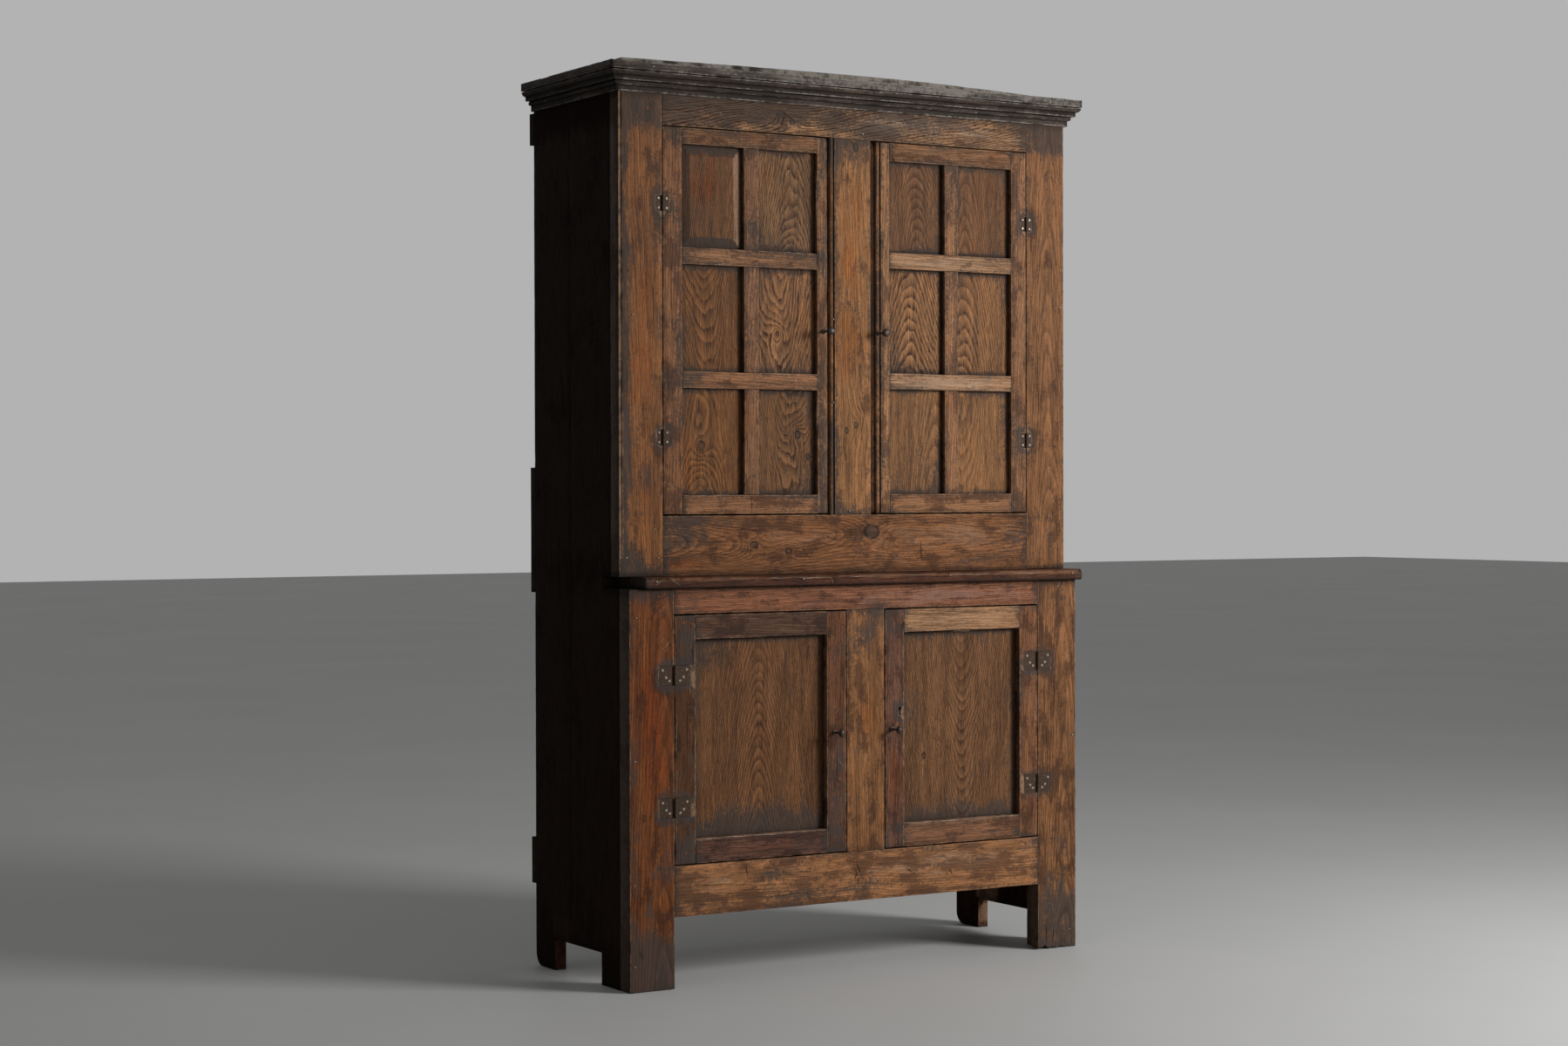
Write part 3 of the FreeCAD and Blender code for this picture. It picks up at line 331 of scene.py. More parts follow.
    def swing(
        self, vector: object, across: float, along: float, reach: float, detail: float = 3.0
    ) -> Socket:
        """Returns noise, as noise() does, that swings by reach to each side of zero."""
        noisy = self.noise(vector, across, along, detail)
        return self.times(self.math("SUBTRACT", noisy, 0.5), 2 * reach)

    def attribute(self, name: str, output: str = "Vector") -> Socket:
        """Returns an output of one of the mesh's own attributes."""
        return self.add("ShaderNodeAttribute", attribute_name=name).outputs[output]

    def bump(self, height: Socket, strength: float, distance: float) -> Socket:
        """Returns the normal of a relief with a height, strength and depth.

        Args:
            height: The relief's height.
            strength: How much of it shows.
            distance: Its depth.

        Returns:
            The normal.
        """
        node = self.add("ShaderNodeBump")
        node.inputs["Strength"].default_value = strength
        node.inputs["Distance"].default_value = distance
        self.join(height, node.inputs["Height"])
        return node.outputs[0]


class Group:
    """A shader group with named inputs and outputs, built once."""

    def __init__(self, name: str, inputs: dict[str, object], outputs: tuple[str, ...]) -> None:
        """Makes the group.

        Args:
            name: The group's name.
            inputs: For each input, its kind, or a number for one with that default.
            outputs: The names of its outputs, which are all single values.
        """
        self.tree = bpy.data.node_groups.new(name, "ShaderNodeTree")
        interface = self.tree.interface
        for label, kind in inputs.items():
            plain = isinstance(kind, float)
            socket_type = "NodeSocketFloat" if plain else f"NodeSocket{kind}"
            socket = interface.new_socket(name=label, in_out="INPUT", socket_type=socket_type)
            if plain:
                socket.default_value = kind
        for label in outputs:
            interface.new_socket(name=label, in_out="OUTPUT", socket_type="NodeSocketFloat")
        self.nodes = Nodes(self.tree)
        self.inputs = self.nodes.add("NodeGroupInput").outputs
        self.outputs = self.nodes.add("NodeGroupOutput").inputs

    def give(self, **results: Socket) -> "Group":
        """Joins the results to the outputs of their names, and returns the group."""
        for name, result in results.items():
            self.nodes.join(result, self.outputs[name])
        return self

    def place(self, nodes: Nodes, **values: object) -> Sockets:
        """Places the group in a material.

        Args:
            nodes: The material's nodes.
            values: A value or socket for each input, by its name in lower case.

        Returns:
            The placed group's outputs.
        """
        node = nodes.add("ShaderNodeGroup", node_tree=self.tree)
        for socket in node.inputs:
            key = socket.name.lower().replace(" ", "_")
            if key in values:
                nodes.join(values[key], socket)
        return node.outputs


def rings_group() -> Group:
    """Returns the group that draws growth rings, bent round up to three knots.

    Returns:
        The group.
    """
    knots = {f"Knot {number}": "Vector" for number in (1, 2, 3)}
    group = Group(
        "growth_rings",
        {"Rings": "Vector", "Fibre": "Vector", **knots, "Waviness": 1.0},
        ("Line", "Shade", "Late", "Knot", "Rim"),
    )
    nodes, feed = group.nodes, group.inputs
    fibre = feed["Fibre"]
    split = nodes.add("ShaderNodeSeparateXYZ")
    nodes.join(feed["Rings"], split.inputs[0])
    radius = nodes.length(nodes.scaled(feed["Rings"], 1.0, 0.0))
    sway = nodes.total(
        nodes.swing(fibre, 9.0, 3.0, 3.4, 1.0),
        nodes.swing(fibre, 28.0, 8.0, 0.8, 1.0),
        nodes.swing(fibre, 150.0, 34.0, 0.16, 1.0),
    )
    growth = nodes.total(radius, split.outputs["Z"], nodes.times(sway, feed["Waviness"]))
    nearest = None
    for name in knots:
        away = nodes.length(feed[name])
        spread = nodes.math("MULTIPLY_ADD", nodes.math("POWER", away, 2.0), 0.2, 1.0)
        growth = nodes.math("ADD", growth, nodes.math("DIVIDE", 4.5, spread))
        nearest = away if nearest is None else nodes.math("MINIMUM", nearest, away)
    phase = nodes.math("FRACT", growth)
    fall = nodes.math("POWER", nodes.math("SUBTRACT", 1.0, phase), 1.7)
    white = nodes.add("ShaderNodeTexWhiteNoise", noise_dimensions="1D")
    nodes.join(nodes.math("FLOOR", growth), white.inputs["W"])
    strength = nodes.math("MULTIPLY_ADD", white.outputs["Value"], 0.8, 0.35)
    torn = nodes.step(nodes.noise(fibre, 420.0, 26.0, 3.0, 0.65), 0.30, 0.62)
    line = nodes.times(fall, nodes.step(phase, 0.0, 0.12), strength, torn)
    core = nodes.math("ADD", nearest, nodes.swing(fibre, 60.0, 60.0, 0.22))
    broken = nodes.step(nodes.noise(fibre, 34.0, 34.0), 0.35, 0.5)
    return group.give(
        Line=nodes.math("MULTIPLY", line, 1.5, clamp=True),
        Shade=white.outputs["Value"],
        Late=phase,
        Knot=nodes.step(core, 1.15, 0.85),
        Rim=nodes.times(nodes.step(core, 0.5, 0.85), nodes.step(core, 1.2, 0.95), broken),
    )


def fibre_group() -> Group:
    """Returns the group that draws the long fine streaks and the open pores of old wood.

    Returns:
        The group.
    """
    group = Group("wood_fibre", {"Fibre": "Vector"}, ("Streak", "Flow", "Pores", "Ticks"))
    nodes, fibre = group.nodes, group.inputs["Fibre"]
    return group.give(
        Streak=nodes.step(nodes.noise(fibre, 330.0, 17.0, 5.0, 0.8), 0.35, 0.65),
        Flow=nodes.step(nodes.noise(fibre, 42.0, 3.6, 4.0, 0.65), 0.33, 0.67),
        Pores=nodes.step(nodes.noise(fibre, 620.0, 46.0, 3.0, 0.7), 0.54, 0.66),
        Ticks=nodes.step(nodes.noise(fibre, 170.0, 420.0, 2.0, 0.6), 0.56, 0.68),
    )


def age_group() -> Group:
    """Returns the group that breaks up soft patches into soiling mixed with painted shade near joints,
    stain, rubbed wood and wear.

    Returns:
        The group.
    """
    levels = {"Grey": 0.0, "Warm": 0.0, "Pale": 0.0, "Old": 0.0, "Soiling": 0.3, "Rubbing": 0.5}
    group = Group(
        "age_marks",
        {"Place": "Vector", "Fibre": "Vector", "Arris": FAR, "Seam": FAR, **levels},
        ("Grime", "Glow", "Rubbed", "Stain", "Wear", "Seam"),
    )
    nodes, feed = group.nodes, group.inputs
    place, fibre, seam, arris = (feed[name] for name in ("Place", "Fibre", "Seam", "Arris"))
    cloud = nodes.swing(place, 8.0, 8.0, 0.9, 5.0)
    smear = nodes.swing(fibre, 46.0, 9.0, 0.8, 5.0)
    thread = nodes.swing(fibre, 210.0, 12.0, 0.9, 4.0)
    speck = nodes.swing(place, 150.0, 150.0, 0.7)
    patchy = nodes.swing(fibre, 24.0, 13.0, 1.3, 6.0)
    # darker within 28 mm of joints and grooves, partly soiling, partly painted shade in the creases; a
    # little darker near arrises
    corner = nodes.weighed((nodes.step(seam, 28 * MM, 0.0), 0.5), (nodes.step(arris, 12 * MM, 0.0), 0.2))
    dirt_and_shade = nodes.total(feed["Grey"], feed["Soiling"], corner, cloud, smear, speck)
    grime = nodes.math("ADD", dirt_and_shade, nodes.times(thread, -0.4))
    glow = nodes.total(feed["Warm"], smear, nodes.times(cloud, -0.7))
    rubbed = nodes.total(feed["Pale"], thread, nodes.weighed((smear, 0.8), (speck, 0.8)))
    stain = nodes.total(feed["Old"], patchy, nodes.weighed((smear, -0.6), (corner, 0.6), (speck, 0.5)))
    ragged = nodes.math("ADD", arris, nodes.swing(place, 90.0, 90.0, 4.2 * MM, 4.0))
    touched = nodes.step(nodes.noise(place, 22.0, 22.0), 0.34, 0.56)
    return group.give(
        Grime=nodes.step(grime, 0.25, 0.95),
        Glow=nodes.step(glow, 0.1, 0.9),
        Rubbed=nodes.step(rubbed, 0.3, 1.0),
        Stain=nodes.step(stain, 0.14, 0.52),
        Wear=nodes.times(nodes.step(ragged, 2.9 * MM, 0.4 * MM), feed["Rubbing"], touched),
        Seam=nodes.step(seam, 1.6 * MM, 0.3 * MM),
    )


def blemish_group() -> Group:
    """Returns the group that draws worm holes and hairline scratches.

    Returns:
        The group.
    """
    group = Group("blemishes", {"Place": "Vector", "Fibre": "Vector"}, ("Holes", "Scratches"))
    nodes, feed = group.nodes, group.inputs
    place = feed["Place"]
    holes = None
    for cells, size, share in ((30.0, 0.055, 0.30), (75.0, 0.085, 0.22)):
        cell = nodes.add("ShaderNodeTexVoronoi", feature="F1")
        nodes.join(nodes.scaled(place, cells, cells), cell.inputs["Vector"])
        nodes.join(1.0, cell.inputs["Scale"])
        split = nodes.add("ShaderNodeSeparateColor")
        nodes.join(cell.outputs["Color"], split.inputs[0])
        chosen = nodes.math("LESS_THAN", split.outputs[0], share)
        dot = nodes.times(nodes.step(cell.outputs["Distance"], size, size * 0.6), chosen)
        holes = dot if holes is None else nodes.math("MAXIMUM", holes, dot)
    drift = nodes.add("ShaderNodeVectorMath", operation="ADD")
    nodes.join(nodes.scaled(feed["Fibre"], 5.0, 7.0), drift.inputs[0])
    nodes.join(nodes.swing(place, 9.0, 9.0, 0.5, 2.0), drift.inputs[1])
    edges = nodes.add("ShaderNodeTexVoronoi", feature="DISTANCE_TO_EDGE")
    nodes.join(drift.outputs[0], edges.inputs["Vector"])
    nodes.join(1.0, edges.inputs["Scale"])
    broken = nodes.step(nodes.noise(place, 17.0, 17.0, 2.0), 0.58, 0.66)
    thin = nodes.step(edges.outputs["Distance"], 0.006, 0.001)
    return group.give(Holes=holes, Scratches=nodes.times(thin, broken))


RINGS, FIBRE, AGE, BLEMISHES = rings_group(), fibre_group(), age_group(), blemish_group()


@dataclass(frozen=True)
class Finish:
    """The finish of a real surface, which becomes one material."""

    name: str
    roughness: float = 0.5
    polish: float = 0.13

    def layers(self, nodes: Nodes) -> dict[str, Socket]:
        """Returns what the shader's sockets read, by their names."""
        raise NotImplementedError

    def material(self) -> bpy.types.Material:
        """Returns the finish's material, made at its first use.

        Returns:
            The material.
        """
        made = bpy.data.materials.get(self.name)
        if made:
            return made
        made = bpy.data.materials.new(self.name)
        made.use_nodes = True
        made.node_tree.nodes.clear()
        nodes = Nodes(made.node_tree)
        shader = nodes.add("ShaderNodeBsdfPrincipled")
        shader.inputs["Specular IOR Level"].default_value = self.polish
        for name, result in self.layers(nodes).items():
            nodes.join(result, shader.inputs[name])
        output = nodes.add("ShaderNodeOutputMaterial")
        nodes.join(shader.outputs[0], output.inputs["Surface"])
        return made


@dataclass(frozen=True)
class WoodFinish(Finish):
    """Old waxed wood: its colours, and how strongly age shows on it."""

    ground: Colour = (0.285, 0.122, 0.047)
    line: Colour = (0.040, 0.014, 0.006)
    glow: Colour = (0.280, 0.088, 0.020)
    rubbed: Colour = (0.360, 0.205, 0.118)
    stain: Colour = (0.055, 0.022, 0.011)
    grime: Colour = (0.056, 0.048, 0.043)
    knot: Colour = (0.074, 0.043, 0.028)
    # near black: knot rims, dark joints and worm holes, and also the painted shade
    crust_and_painted_shade: Colour = (0.010, 0.006, 0.004)
    worn: Colour = (0.380, 0.225, 0.130)
    figure: float = 0.6
    varnish: float = 0.0
    soiling: float = 0.05
    rubbing: float = 0.7

    def layers(self, nodes: Nodes) -> dict[str, Socket]:
        """Returns the wood's colour, roughness and relief.

        Args:
            nodes: The material's nodes.

        Returns:
            The sockets by name.
        """
        place = nodes.add("ShaderNodeTexCoord").outputs["Object"]
        fibre = nodes.attribute("fibre")
        patch = nodes.add("ShaderNodeAttribute", attribute_name="patch")
        split = nodes.add("ShaderNodeSeparateColor")
        nodes.join(patch.outputs["Color"], split.inputs[0])
        knots = {name: nodes.attribute(name) for name in ("knot_1", "knot_2", "knot_3")}
        waviness = nodes.attribute("tone", "Alpha")
        rings = RINGS.place(nodes, rings=nodes.attribute("rings"), fibre=fibre, waviness=waviness, **knots)
        threads = FIBRE.place(nodes, fibre=fibre)
        age = AGE.place(
            nodes,
            place=place,
            fibre=fibre,
            grey=split.outputs[0],
            warm=split.outputs[1],
            pale=split.outputs[2],
            old=nodes.math("ADD", nodes.attribute("stain", "Fac"), self.varnish),
            arris=nodes.attribute("arris", "Fac"),
            seam=nodes.attribute("seam", "Fac"),
            soiling=self.soiling,
            rubbing=self.rubbing,
        )
        marks = BLEMISHES.place(nodes, place=place, fibre=fibre)
        gloss = nodes.weighed((age["Grime"], 0.24), (age["Rubbed"], -0.08), (threads["Streak"], 0.16))
        return {
            # the patch attribute's alpha carries the painted shade
            "Base Color": self.colour(nodes, rings, threads, age, marks, patch.outputs["Alpha"]),
            "Roughness": nodes.math("ADD", self.roughness - 0.08, gloss),
            "Normal": self.relief(nodes, rings, threads, age, marks),
        }

    def colour(
        self, nodes: Nodes, rings: Sockets, threads: Sockets, age: Sockets, marks: Sockets, dark: Socket
    ) -> Socket:
        """Returns the colour, from the bare wood up through its stains to its wear, with painted shade laid
        over it.

        Args:
            nodes: The material's nodes.
            rings: Outputs of the growth rings.
            threads: Outputs of the fibre.
            age: Outputs of the age marks.
            marks: Outputs of the blemishes.
            dark: How strong the painted shade is, from the placed marks.

        Returns:
            The colour.
        """
        line = nodes.times(rings["Line"], self.figure, nodes.attribute("figure", "Fac"))
        light = nodes.math(
            "ADD",
            0.10,
            nodes.weighed(
                (threads["Streak"], 0.60), (threads["Flow"], 0.48), (rings["Shade"], 0.30),
                (rings["Late"], 0.28),
            ),
        )
        base = nodes.mix(age["Glow"], self.ground, self.glow)
        base = nodes.mix(line, base, self.line)
        base = nodes.layered(
            base, (threads["Pores"], 0.65, self.line), (threads["Ticks"], 0.35, self.stain)
        )
        base = nodes.layered(
            nodes.mix(1.0, base, light, "MULTIPLY"),
            (age["Rubbed"], 0.62, self.rubbed),
            (age["Stain"], 0.68, self.stain),
            (rings["Knot"], 0.75, self.knot),
            (rings["Rim"], 0.8, self.crust_and_painted_shade),
        )
        base = nodes.mix(1.0, base, nodes.attribute("tone", "Color"), "MULTIPLY")
        # soiling, with the painted shade near joints and on the raised panel's foot and head bevels in it
        base = nodes.layered(base, (age["Grime"], 0.78, self.grime))
        return nodes.layered(
            nodes.mix(nodes.math("MULTIPLY", line, age["Grime"], clamp=True), base, self.line),
            (age["Wear"], 0.8, self.worn),
            (marks["Scratches"], 0.14, self.rubbed),
            (age["Seam"], 0.75, self.crust_and_painted_shade),
            # painted shade, from the placed dark marks
            (nodes.math("MULTIPLY", dark, 1.0, clamp=True), 1.0, self.crust_and_painted_shade),
            (marks["Holes"], 0.85, self.crust_and_painted_shade),
        )

    def relief(
        self, nodes: Nodes, rings: Sockets, threads: Sockets, age: Sockets, marks: Sockets
    ) -> Socket:
        """Returns the normal of the fine relief: sunk lines and pores, raised fibres, holes.

        Args:
            nodes: The material's nodes.
            rings: Outputs of the growth rings.
            threads: Outputs of the fibre.
            age: Outputs of the age marks.
            marks: Outputs of the blemishes.

        Returns:
            The normal.
        """
        height = nodes.weighed(
            (rings["Line"], -0.45),
            (threads["Streak"], 0.5),
            (threads["Pores"], -0.3),
            (age["Grime"], 0.25),
            (marks["Holes"], -2.0),
            (marks["Scratches"], -0.6),
        )
        return nodes.bump(height, 0.9, 1.1 * MM)


@dataclass(frozen=True)
class IronFinish(Finish):
    """Forged iron: dark skin, rust in its pits, and bright metal where it is touched."""

    roughness: float = 0.58
    polish: float = 0.16
    skin: Colour = (0.036, 0.021, 0.012)
    rust: Colour = (0.086, 0.042, 0.021)
    bright: Colour = (0.340, 0.275, 0.210)
    brightness: float = 0.14
    metal: float = 0.15

    def layers(self, nodes: Nodes) -> dict[str, Socket]:
        """Returns the iron's colour, metal, roughness and relief.

        Args:
            nodes: The material's nodes.

        Returns:
            The sockets by name.
        """
        place = nodes.add("ShaderNodeTexCoord").outputs["Object"]
        cloud = nodes.noise(place, 160.0, 160.0, 4.0, 0.6)
        pits = nodes.noise(place, 700.0, 700.0, 3.0, 0.6)
        touched = nodes.step(nodes.noise(place, 95.0, 95.0, 3.0, 0.6), 0.60, 0.70)
        edge = nodes.step(nodes.attribute("arris", "Fac"), 1.1 * MM, 0.1 * MM)
        rust = nodes.step(cloud, 0.48, 0.66)
        bright = nodes.times(nodes.math("MAXIMUM", touched, nodes.times(edge, 0.6)), self.brightness)
        colour = nodes.mix(rust, self.skin, self.rust)
        colour = nodes.mix(1.0, colour, nodes.math("MULTIPLY_ADD", pits, 0.8, 0.6), "MULTIPLY")
        return {
            "Base Color": nodes.mix(bright, colour, self.bright),
            "Metallic": nodes.math("SUBTRACT", self.metal, nodes.times(rust, self.metal)),
            "Roughness": nodes.math("ADD", self.roughness, nodes.weighed((rust, 0.25), (bright, -0.3))),
            "Normal": nodes.bump(nodes.weighed((pits, 1.0), (cloud, 1.4)), 0.6, 0.3 * MM),
        }


FRAME_WOOD = WoodFinish("aged_frame_wood")
DOOR_WOOD = replace(FRAME_WOOD, name="aged_door_wood", ground=(0.265, 0.124, 0.057), soiling=0.06)
PANEL_WOOD = replace(
    FRAME_WOOD, name="aged_panel_wood", ground=(0.270, 0.127, 0.051), figure=0.85, varnish=-0.2,
    soiling=0.02, rubbing=0.2,
)
# its pale rubbed colour also paints the light on the raised panel's right bevel
RAISED_WOOD = replace(PANEL_WOOD, name="aged_raised_wood", rubbed=(0.60, 0.39, 0.26), rubbing=1.0)
LEDGE_WOOD = replace(
    FRAME_WOOD, name="aged_ledge_wood", ground=(0.130, 0.052, 0.024), figure=0.5, soiling=0.1, rubbing=0.9
)
# rubbed all along its arrises, so its pale wear is partly wear and partly painted highlight on the mouldings
CORNICE_WOOD = replace(
    FRAME_WOOD, name="aged_cornice_wood", ground=(0.096, 0.068, 0.052), line=(0.024, 0.017, 0.013),
    glow=(0.110, 0.068, 0.044), rubbed=(0.255, 0.232, 0.208), stain=(0.024, 0.018, 0.015),
    grime=(0.036, 0.030, 0.026), worn=(0.300, 0.265, 0.230), figure=0.4, rubbing=1.0, roughness=0.58,
)
TOP_WOOD = replace(
    CORNICE_WOOD, name="aged_top_wood", ground=(0.070, 0.050, 0.036), rubbed=(0.105, 0.086, 0.070),
    stain=(0.035, 0.026, 0.020), soiling=0.15,
)
# the near-black sides are painted shade, for faces turned from the light; the right side shares this colour
SIDE_WOOD = replace(
    FRAME_WOOD, name="aged_side_wood", ground=(0.036, 0.010, 0.005), line=(0.010, 0.004, 0.003),
    glow=(0.050, 0.012, 0.005), rubbed=(0.070, 0.028, 0.015), grime=(0.012, 0.007, 0.005),
    worn=(0.120, 0.058, 0.032), soiling=0.22, rubbing=0.5, roughness=0.6, polish=0.02,
)
RIGHT_SIDE_WOOD = replace(SIDE_WOOD, name="aged_right_side_wood", rubbed=(0.30, 0.185, 0.115))
INNER_WOOD = replace(
    FRAME_WOOD, name="aged_inner_wood", ground=(0.23, 0.140, 0.085), line=(0.100, 0.058, 0.034),
    glow=(0.25, 0.14, 0.075), soiling=0.25, rubbing=0.4, roughness=0.72,
)
BACK_WOOD = replace(INNER_WOOD, name="aged_back_wood", ground=(0.23, 0.148, 0.096), soiling=0.2)
CRACK = replace(
    FRAME_WOOD, name="aged_crack", ground=(0.012, 0.007, 0.005), line=(0.006, 0.004, 0.003),
    glow=(0.014, 0.007, 0.004), rubbed=(0.030, 0.015, 0.009), stain=(0.008, 0.005, 0.004),
    grime=(0.010, 0.007, 0.006), roughness=0.85, polish=0.05,
)
SCRATCH = replace(
    FRAME_WOOD, name="aged_scratch", ground=(0.460, 0.330, 0.240), line=(0.200, 0.130, 0.088),
    glow=(0.460, 0.310, 0.210), rubbed=(0.560, 0.430, 0.330), stain=(0.200, 0.135, 0.092),
    grime=(0.150, 0.110, 0.082),
)
HINGE_IRON = IronFinish("forged_hinge_iron")
KNOB_IRON = IronFinish("forged_knob_iron", skin=(0.022, 0.018, 0.016), roughness=0.38, polish=0.5)
LOCK_IRON = IronFinish("forged_lock_iron", brightness=0.1, roughness=0.55)
NAIL_IRON = IronFinish("forged_nail_iron", bright=(0.52, 0.45, 0.37), brightness=1.0, roughness=0.45)
SCREW_IRON = replace(NAIL_IRON, name="forged_screw_iron", skin=(0.18, 0.15, 0.12), roughness=0.4)


# Marks of age placed on the front

# For each board, or every board, the middle, half sizes and strength of its soft patches
BLOT_PLACES = {
    "upper_stile_left": {
        Mark.GREY: (
            (-622, 1560, 17, 460, 0.85), (-534, 1780, 12, 300, 0.6), (-560, 1175, 34, 60, 0.7),
            (-622, 1010, 30, 40, 0.8),
        ),
        Mark.WARM: ((-568, 1480, 22, 420, 0.45),),
    },
    "": {
        Mark.GREY: (
            (-580, 2085, 90, 70, 1.0), (-590, 970, 60, 40, 0.5), (-330, 2050, 240, 60, 0.55),
            (600, 2050, 70, 80, 0.9), (-520, 1814, 34, 40, 0.6), (-520, 1272, 34, 40, 0.6),
            (520, 1813, 34, 40, 0.6), (520, 1272, 34, 40, 0.6), (-518, 723, 54, 36, 0.45),
            (-518, 418, 54, 36, 0.45), (518, 723, 50, 36, 0.4), (518, 418, 50, 36, 0.4),
        ),
    },
    "upper_head": {
        Mark.PALE: ((150, 2040, 190, 30, 0.9), (420, 2020, 120, 30, 0.5)),
        Mark.GREY: ((70, 2006, 70, 14, 0.9),),
    },
    "upper_centre": {
        Mark.GREY: ((-5, 1975, 60, 50, 0.9), (31, 1423, 16, 40, 0.5), (-15, 1110, 60, 24, 0.5)),
        Mark.WARM: ((0, 1650, 40, 260, 0.6),),
    },
    "upper_left_raised": {
        Mark.WARM: ((-400, 1850, 50, 60, 0.55),),
    },
    "lower_right": {
        Mark.GREY: ((105, 615, 26, 28, 0.75),),
    },
    "lower_stile_left": {
        Mark.WARM: ((-580, 640, 34, 260, 0.9),),
        Mark.GREY: ((-580, 905, 70, 20, 0.6), (-622, 500, 10, 400, 0.45), (-580, 60, 80, 60, 0.8)),
    },
    "lower_stile_right": {
        Mark.GREY: ((580, 110, 80, 90, 0.55),),
    },
    "lower_head": {
        Mark.GREY: ((-470, 880, 26, 30, 0.7),),
        Mark.PALE: ((250, 890, 300, 24, 0.9), (-150, 890, 200, 20, 0.3)),
    },
    "lower_left": {
        Mark.GREY: ((-490, 800, 60, 40, 0.6), (-490, 320, 60, 60, 0.6)),
    },
    "lower_left_panel": {
        Mark.GREY: ((-290, 365, 240, 46, 1.1), (-400, 760, 70, 50, 0.5)),
    },
    "lower_left_closing": {
        Mark.GREY: ((-76, 440, 26, 190, 0.9),),
    },
    "lower_right_panel": {
        Mark.GREY: ((290, 365, 220, 24, 0.7),),
    },
    "lower_centre": {
        Mark.GREY: ((0, 800, 60, 40, 0.55),),
        Mark.WARM: ((10, 600, 40, 80, 0.5),),
    },
    "lower_right_rails": {
        Mark.PALE: ((290, 833, 190, 20, 0.6), (290, 342, 240, 3.5, 1.5)),
    },
    "lower_right_closing": {
        Mark.WARM: ((90, 450, 20, 160, 0.5),),
        Mark.GREY: ((90, 330, 40, 40, 0.5),),
    },
    "lower_bottom": {
        Mark.GREY: (
            (-250, 250, 60, 26, 0.6), (-100, 190, 160, 14, 0.5), (-470, 195, 60, 20, 0.6),
            (500, 270, 30, 14, 0.7),
        ),
        Mark.PALE: ((-420, 240, 90, 30, 0.5), (280, 240, 240, 30, 0.6), (60, 236, 500, 30, 0.25)),
    },
    "upper_sill": {
        Mark.PALE: ((300, 1040, 220, 50, 0.7), (-150, 1030, 150, 30, 0.5), (-440, 976, 90, 9, 0.5)),
        Mark.GREY: (
            (-420, 1075, 260, 10, 0.5), (-480, 1060, 60, 60, 0.5), (-411, 1040, 10, 26, 0.8),
            (470, 1020, 40, 40, 0.4),
        ),
        Mark.WARM: ((-470, 978, 60, 10, 1.0),),
    },
    "lower_left_rails": {
        Mark.PALE: ((-285, 342, 240, 3.5, 1.5),),
    },
    "waist_ledge": {
        Mark.PALE: ((450, 940, 220, 30, 0.5),),
    },
    "upper_right_rails": {
        Mark.PALE: (
            (290, 1410, 200, 18, 0.9), (290, 1706, 200, 18, 0.8), (260, 1115, 120, 16, 0.4),
        ),
    },
}
BLOTS = tuple(
    Blot(mark, *place, board)
    for board, marks in BLOT_PLACES.items() for mark, places in marks.items() for place in places
)

KNOTS = tuple(Knot(*row) for row in (
    (-199, 2040, 9), (-167, 2025, 6), (12, 1974, 8), (-16, 1292, 6), (12, 1306, 6), (56, 1048, 17),
    (-412, 1252, 9), (-146, 1281, 8), (-117, 1229, 6), (-202, 1520, 5), (-276, 1020, 8),
    (-180, 1005, 7), (188, 501, 6), (-546, 2040, 6), (-560, 905, 5),
))


# Meshes


def merged_copy(node: str) -> BMesh:
    """Returns a copy of a CAD node's mesh, with its triangles merged into flat faces.

    Args:
        node: The CAD node.

    Returns:
        The copy.
    """
    mesh = bmesh.new()
    mesh.from_mesh(frame["nodes"][node].data)
    bmesh.ops.remove_doubles(mesh, verts=mesh.verts, dist=0.002 * MM)
    bmesh.ops.dissolve_limit(
        mesh, angle_limit=math.radians(0.4), verts=mesh.verts, edges=mesh.edges, delimit=set()
    )
    return mesh


def finished(mesh: BMesh, name: str, smooth_angle: float = 38.0) -> bpy.types.Object:
    """Makes an object of a mesh, shaded smooth up to an angle.

    Args:
        mesh: The mesh, which is freed.
        name: The object's name.
        smooth_angle: The angle in degrees from which an edge is drawn sharp.

    Returns:
        The object, linked to the scene.
    """
    data = bpy.data.meshes.new(name)
    mesh.to_mesh(data)
    mesh.free()
    data.shade_smooth()
    data.set_sharp_from_angle(angle=math.radians(smooth_angle))
    made = bpy.data.objects.new(name, data)
    bpy.context.scene.collection.objects.link(made)
    return made


def islands(mesh: BMesh) -> list[list[int]]:
    """Returns the vertex numbers of every separate solid, from the foot up and left to right.

    Args:
        mesh: The mesh.

    Returns:
        A list of vertex numbers for each solid.
    """
    mesh.verts.index_update()
    seen = [False] * len(mesh.verts)
    found = []
    for start in mesh.verts:
        if seen[start.index]:
            continue
        seen[start.index] = True
        members, waiting = [], [start]
        while waiting:
            vert = waiting.pop()
            members.append(vert.index)
            for edge in vert.link_edges:
                other = edge.other_vert(vert)
                if not seen[other.index]:
                    seen[other.index] = True
                    waiting.append(other)
        found.append(members)
    mesh.verts.ensure_lookup_table()

    def place(members: list[int]) -> Place:
        """Returns the solid's place, to 2 cm."""
        low = [min(mesh.verts[index].co[axis] for index in members) for axis in range(3)]
        return round(low[2] / 0.02), round(low[0] / 0.02), round(low[1] / 0.02)

    return sorted(found, key=place)


